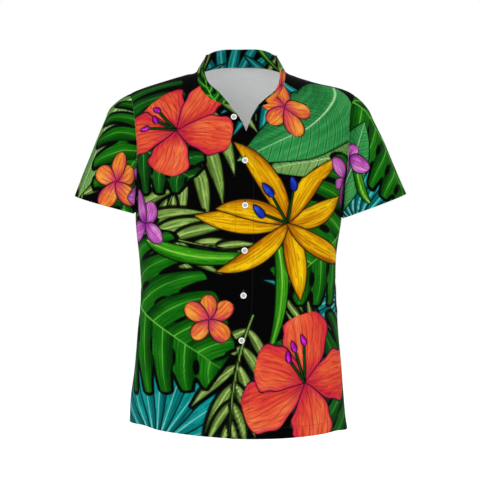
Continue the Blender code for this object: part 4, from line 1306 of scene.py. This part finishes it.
def make_back(grid, out, materials):
    up, over = measured(grid)
    t = up - up[BACK_MESH.skirt] + UNDERARM
    middle = grid.shape[1] // 2
    s = over - over[:, middle : middle + 1]
    near = np.minimum(np.minimum(over[:, -1:] - over, over), up[-1] - up)
    stitch = stitch_lines((up - HEM_STITCH, s))
    shaped = dip(grid, out, near)
    return make_piece("back", shaped, out, s, t, BACK_PRINT, stitch, up < HEM_STITCH, materials)


def make_sleeve(hand, border, materials):
    sleeve = sleeve_grid(hand, border)
    out = -hand * grid_normals(sleeve, closed=True)
    tucked = turning(border)
    tucked[-1, :, 0] += hand * TURN_ROOM
    grid = np.concatenate([tucked, dip(sleeve, out, lengths_along(sleeve))])
    out = -hand * grid_normals(grid, closed=True)
    up = lengths_along(grid[::-1])[::-1]
    over = measured(np.concatenate([grid, grid[:, :1]], axis=1))[1][:, :-1]
    top = grid.shape[1] // 2
    s = over[:, top : top + 1] - over
    stitch = stitch_lines((up - HEM_STITCH, s))
    folded = up < HEM_STITCH
    folded[:TURN_ROWS] = True
    node = "sleeve_left" if hand > 0 else "sleeve_right"
    motifs = SLEEVE_LEFT_PRINT if hand > 0 else SLEEVE_RIGHT_PRINT
    piece = make_piece(node, grid, out, s, up, motifs, stitch, folded, materials, closed=True)
    return piece, area_of(sleeve, closed=True)


def make_collar(border, materials):
    collar = collar_grid(border)
    shaped = dip(collar, -grid_normals(collar), lengths_along(collar))
    grid = np.concatenate([turning(border), shaped])
    up, over = measured(grid)
    up = up - up[TURN_ROWS]
    s = over - over[:, -1:] / 2
    ends = np.minimum(over, over[:, -1:] - over)
    stitch = stitch_lines((up[-1] - up - COLLAR_STITCH, s), (ends - COLLAR_STITCH, up))
    folded = np.ones_like(up)
    out = -grid_normals(grid)
    piece = make_piece(
        "collar", grid, out, s, up, COLLAR_PRINT, stitch, folded, materials, coarse=1
    )
    return piece, area_of(collar)


def make_cloth():
    materials = (
        cloth_material("printed_cloth", sheen=0.01, rough=0.80, uneven=0.08),
        cloth_material("wrong_side", sheen=0.04, rough=0.85, uneven=0.02),
    )
    fronts = {hand: front_grid(hand) for hand in (1, -1)}
    front_out = {hand: faced(grid, -1) for hand, grid in fronts.items()}
    back = back_grid()
    back_out = faced(back, 1)
    for hand, grid in fronts.items():
        front = make_front(hand, grid, front_out[hand], materials)
        area = area_of(grid)
        beside_front = with_turning(grid, front_out[hand], 1, 1)
        beside_back = with_turning(back, back_out, 1, hand)
        border = around_armhole(beside_front, beside_back, hand)
        sleeve, area = make_sleeve(hand, border, materials)
    shown_back, area = make_back(back, back_out, materials), area_of(back)
    right, left = (with_turning(fronts[hand], front_out[hand], 0, 1)[-1] for hand in (-1, 1))
    middle = slice(BACK_MESH.shoulder, BACK_MESH.shoulder + 2 * BACK_MESH.neck + 1)
    over_back = with_turning(back, back_out, 0, 1)[-1, middle]
    line = [right[: FRONT_MESH.neck], over_back, left[FRONT_MESH.neck - 1 :: -1]]
    border = evened_turning(evenly(np.concatenate(line), COLUMNS_COLLAR + 1))
    collar, area = make_collar(border, materials)


# ---- buttons -----------------------------------------------------------------------------
BUTTON_TURNS = (12, -20, 35, 8, -38, 22)  # how each is turned, in degrees
# painted shade in a button's dish, and the white of its resin
BUTTON_DISH_SHADE, BUTTON_WHITE = (0.42, 0.42, 0.42), (0.80, 0.80, 0.79)
BUTTON_YARN, BUTTONHOLE_YARN = (0.60, 0.60, 0.58), (0.05, 0.09, 0.05)
YARN = 0.2  # half the thickness of the thread
BUTTONHOLE_LENGTH, BUTTONHOLE_WIDE, BUTTONHOLE_PITCH = 13.0, 2.6, 0.45
BUTTONHOLE_RISE = 3.0  # the middle of a buttonhole lies this far above its button
EMPTY_BUTTONHOLE = (30.0, -99.0)  # x and height
STRANDS = (-0.32, 0.0, 0.32)  # of one bar of a button's thread, from its middle


def mesh_from(name, bm):
    mesh = bpy.data.meshes.new(name)
    bm.to_mesh(mesh)
    bm.free()
    return mesh


def button_mesh():
    """A dished disc with a raised round rim and four holes, its underside at height 0."""
    r, top, rim, edge = BUTTON_RADIUS, BUTTON_THICK, BUTTON_RIM, BUTTON_EDGE
    # radius and height, from the middle of the underside round to the middle of the dish
    profile = [(0.0, 0.0), (r - 2 * edge, 0.0), (r - 0.5 * edge, 0.25), (r, 0.9)]
    profile += [(r, top - edge), (r - 0.3 * edge, top - 0.3 * edge), (r - edge, top)]
    profile += [(r - rim, top - 0.05), (r - rim - 0.35, top - 0.3), (r - rim - 0.8, top - 0.62)]
    profile += [(r - rim - 1.4, top - BUTTON_WELL), (0.0, top - BUTTON_WELL - 0.08)]
    bm = bmesh.new()
    verts = [bm.verts.new((x * MM, 0, h * MM)) for x, h in profile]
    edges = [bm.edges.new(pair) for pair in zip(verts, verts[1:])]
    bmesh.ops.spin(
        bm, geom=verts + edges, axis=(0, 0, 1), angle=2 * pi, steps=48, use_merge=True
    )
    bmesh.ops.remove_doubles(bm, verts=bm.verts, dist=1e-6)
    bmesh.ops.recalc_face_normals(bm, faces=bm.faces)
    blank = linked("blank", mesh_from("blank", bm))
    bm = bmesh.new()
    spot = (BUTTON_PITCH * MM, BUTTON_PITCH * MM, BUTTON_THICK / 2 * MM)
    hole, depth = BUTTON_HOLE * MM, 2 * BUTTON_THICK * MM
    for turn in range(4):
        place = Matrix.Rotation(turn * pi / 2, 4, "Z") @ Matrix.Translation(spot)
        bmesh.ops.create_cone(
            bm, cap_ends=True, segments=20, radius1=hole, radius2=hole, depth=depth, matrix=place
        )
    drill = linked("drill", mesh_from("drill", bm))
    cut = blank.modifiers.new("holes", "BOOLEAN")
    cut.object = drill
    cut.operation = "DIFFERENCE"
    cut.solver = "EXACT"
    bpy.context.view_layer.update()
    depsgraph = bpy.context.evaluated_depsgraph_get()
    mesh = bpy.data.meshes.new_from_object(blank.evaluated_get(depsgraph))
    for obj in (blank, drill):
        bpy.data.objects.remove(obj)
    mesh.name = "button"
    mesh.materials.clear()
    mesh.shade_smooth()
    mesh.set_sharp_from_angle(angle=radians(42))
    return mesh


def tube(bm, x, y, height, sides=8):
    """A round thread along a line of points."""
    points = np.stack(np.broadcast_arrays(x, y, height), axis=1)
    turns = 2 * pi * np.arange(sides) / sides
    rings = []
    for n, point in enumerate(points):
        ahead = points[min(n + 1, len(points) - 1)] - points[max(n - 1, 0)]
        ahead /= np.linalg.norm(ahead)
        side = np.cross(ahead, (0.13, 0.07, 1.0))
        side /= np.linalg.norm(side)
        up = np.cross(side, ahead)
        ring = [point + YARN * (cos(turn) * side + sin(turn) * up) for turn in turns]
        rings.append([bm.verts.new(Vector(spot * MM)) for spot in ring])
    for one, other in zip(rings, rings[1:]):
        for k in range(sides):
            after = (k + 1) % sides
            bm.faces.new((one[k], one[after], other[after], other[k]))
    for ring in (rings[0], rings[-1]):
        bm.faces.new(ring)


def thread_mesh(name, bm):
    bmesh.ops.recalc_face_normals(bm, faces=bm.faces)
    mesh = mesh_from(name, bm)
    mesh.shade_smooth()
    return mesh


def button_thread():
    """Two bars of thread through the holes, side by side, of three strands each."""
    bm = bmesh.new()
    steps = np.linspace(-1, 1, 9)
    height = BUTTON_THICK - BUTTON_WELL + 0.42 * (1 - steps**4) - 0.5 * steps**8
    for side in (-1, 1):
        for strand in STRANDS:
            x = side * BUTTON_PITCH + strand
            tube(bm, x, steps * BUTTON_PITCH, height + 0.08 * (strand == 0))
    return thread_mesh("button_thread", bm)


def buttonhole_mesh():
    """A slit worked round with close stitches, and a bar across each end."""
    bm = bmesh.new()
    half, wide = BUTTONHOLE_LENGTH / 2, BUTTONHOLE_WIDE / 2
    count = int(BUTTONHOLE_LENGTH / BUTTONHOLE_PITCH)
    for side in (-1, 1):
        for k in range(count):
            y = -half + (k + 0.5) * BUTTONHOLE_LENGTH / count
            x = np.array([0.25, 0.55, 0.85, 1.0]) * wide * side
            tube(bm, x, y, np.array([-0.1, 0.22, 0.22, -0.1]), sides=5)
    steps = np.linspace(-1, 1, 5)
    for y in (-half, half):
        for k in (-1, 0, 1):
            tube(bm, 1.1 * steps * wide, y + k * 0.35, 0.3 - 0.4 * steps**4, sides=5)
    return thread_mesh("buttonhole", bm)


def seated(name, mesh, x, z, lift=0.0, turn=0.0):
    """A new object on the front at x and height z, its own Z out of the cloth."""
    sideways = np.array([0, 1, -1, 0, 0]) * BUTTON_RADIUS
    upward = np.array([0, 0, 0, 1, -1]) * BUTTON_RADIUS
    around = body_surface(x + sideways, z + upward, -1)
    outward = np.cross(around[1] - around[2], around[3] - around[4])
    outward /= np.linalg.norm(outward)
    obj = linked(name, mesh.copy())
    lie = Vector(outward).to_track_quat("Z", "Y").to_matrix().to_4x4()
    place = Matrix.Translation(Vector((around[0] + outward * lift) * MM))
    obj.matrix_world = place @ lie @ Matrix.Rotation(radians(turn), 4, "Z")
    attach(obj, "root")
    return obj


def make_buttons():
    disc, bars, ring = button_mesh(), button_thread(), buttonhole_mesh()
    disc.materials.append(button_material())
    bars.materials.append(thread_material("button_thread", BUTTON_YARN))
    ring.materials.append(thread_material("buttonhole_thread", BUTTONHOLE_YARN))
    places = [OPEN_BUTTON] + [(float(FRONT_EDGE.at("buttons", z)), z) for z in BUTTON_HEIGHTS]
    holes = [EMPTY_BUTTONHOLE] + [(x, z + BUTTONHOLE_RISE) for x, z in places[1:]]
    for number, (x, z) in enumerate(holes, 1):
        seated(f"buttonhole_{number}", ring, x, z)
    for number, ((x, z), turn) in enumerate(zip(places, BUTTON_TURNS), 1):
        button = seated(f"shown_button_{number}", disc, x, z, BUTTON_SEAT, turn)
        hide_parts(f"button_{number}")
        seated(f"thread_{number}", bars, x, z, BUTTON_SEAT, turn)


# ---- stage -------------------------------------------------------------------------------
CAMERA_AT = (0.0, -2.3, -0.3305)
CAMERA_LENS, SENSOR = 87.7, 36.0
FLOOR_LEVEL = -1.02
FLOOR_REACH = 30.0
FLOOR_GLOW = 0.35
WORLD_SEEN, WORLD_LIGHT = 1.0, 0.72  # strength of the white surroundings, as seen and as light
LAMP_AIM = Vector((0, 0, -0.35))
Lamp = namedtuple("Lamp", "name place size watts")
LAMPS = (
    Lamp("key", (-1.6, -2.6, 1.5), 2.2, 42),
    Lamp("fill", (2.2, -2.4, 0.4), 2.4, 22),
    Lamp("back", (0.6, 2.2, 1.8), 2.0, 22),
)


def make_stage():
    """A plain white floor, level and wide."""
    bm = bmesh.new()
    bmesh.ops.create_grid(bm, x_segments=8, y_segments=8, size=FLOOR_REACH)
    floor = linked("floor", mesh_from("floor", bm))
    floor.location = (0, 0, FLOOR_LEVEL)
    floor.data.materials.append(Nodes("floor").finish({
        "Base Color": (0.9, 0.9, 0.9, 1),
        "Roughness": 0.9,
        "Specular IOR Level": 0.1,
        "Emission Color": (1, 1, 1, 1),
        "Emission Strength": FLOOR_GLOW,
    }))


def make_lights():
    world = bpy.data.worlds.new("studio")
    world.use_nodes = True
    tree = world.node_tree
    path = tree.nodes.new("ShaderNodeLightPath")
    strength = tree.nodes.new("ShaderNodeMapRange")
    strength.inputs["To Min"].default_value = WORLD_LIGHT
    strength.inputs["To Max"].default_value = WORLD_SEEN
    tree.links.new(path.outputs["Is Camera Ray"], strength.inputs["Value"])
    background = tree.nodes["Background"]
    background.inputs["Color"].default_value = (1, 1, 1, 1)
    tree.links.new(strength.outputs["Result"], background.inputs["Strength"])
    bpy.context.scene.world = world
    for lamp in LAMPS:
        light = bpy.data.lights.new(lamp.name, "AREA")
        light.size = lamp.size
        light.energy = lamp.watts
        obj = linked(lamp.name, light)
        obj.location = lamp.place
        obj.rotation_euler = (LAMP_AIM - Vector(lamp.place)).to_track_quat("-Z", "Y").to_euler()


def make_camera():
    lens = bpy.data.cameras.new("camera")
    lens.lens = CAMERA_LENS
    lens.sensor_width = SENSOR
    camera = linked("camera", lens)
    camera.location = CAMERA_AT
    camera.rotation_euler = (pi / 2, 0, 0)
    bpy.context.scene.camera = camera
    bpy.context.scene.view_settings.view_transform = "Standard"


make_camera()
make_lights()
make_stage()
make_cloth()
make_buttons()
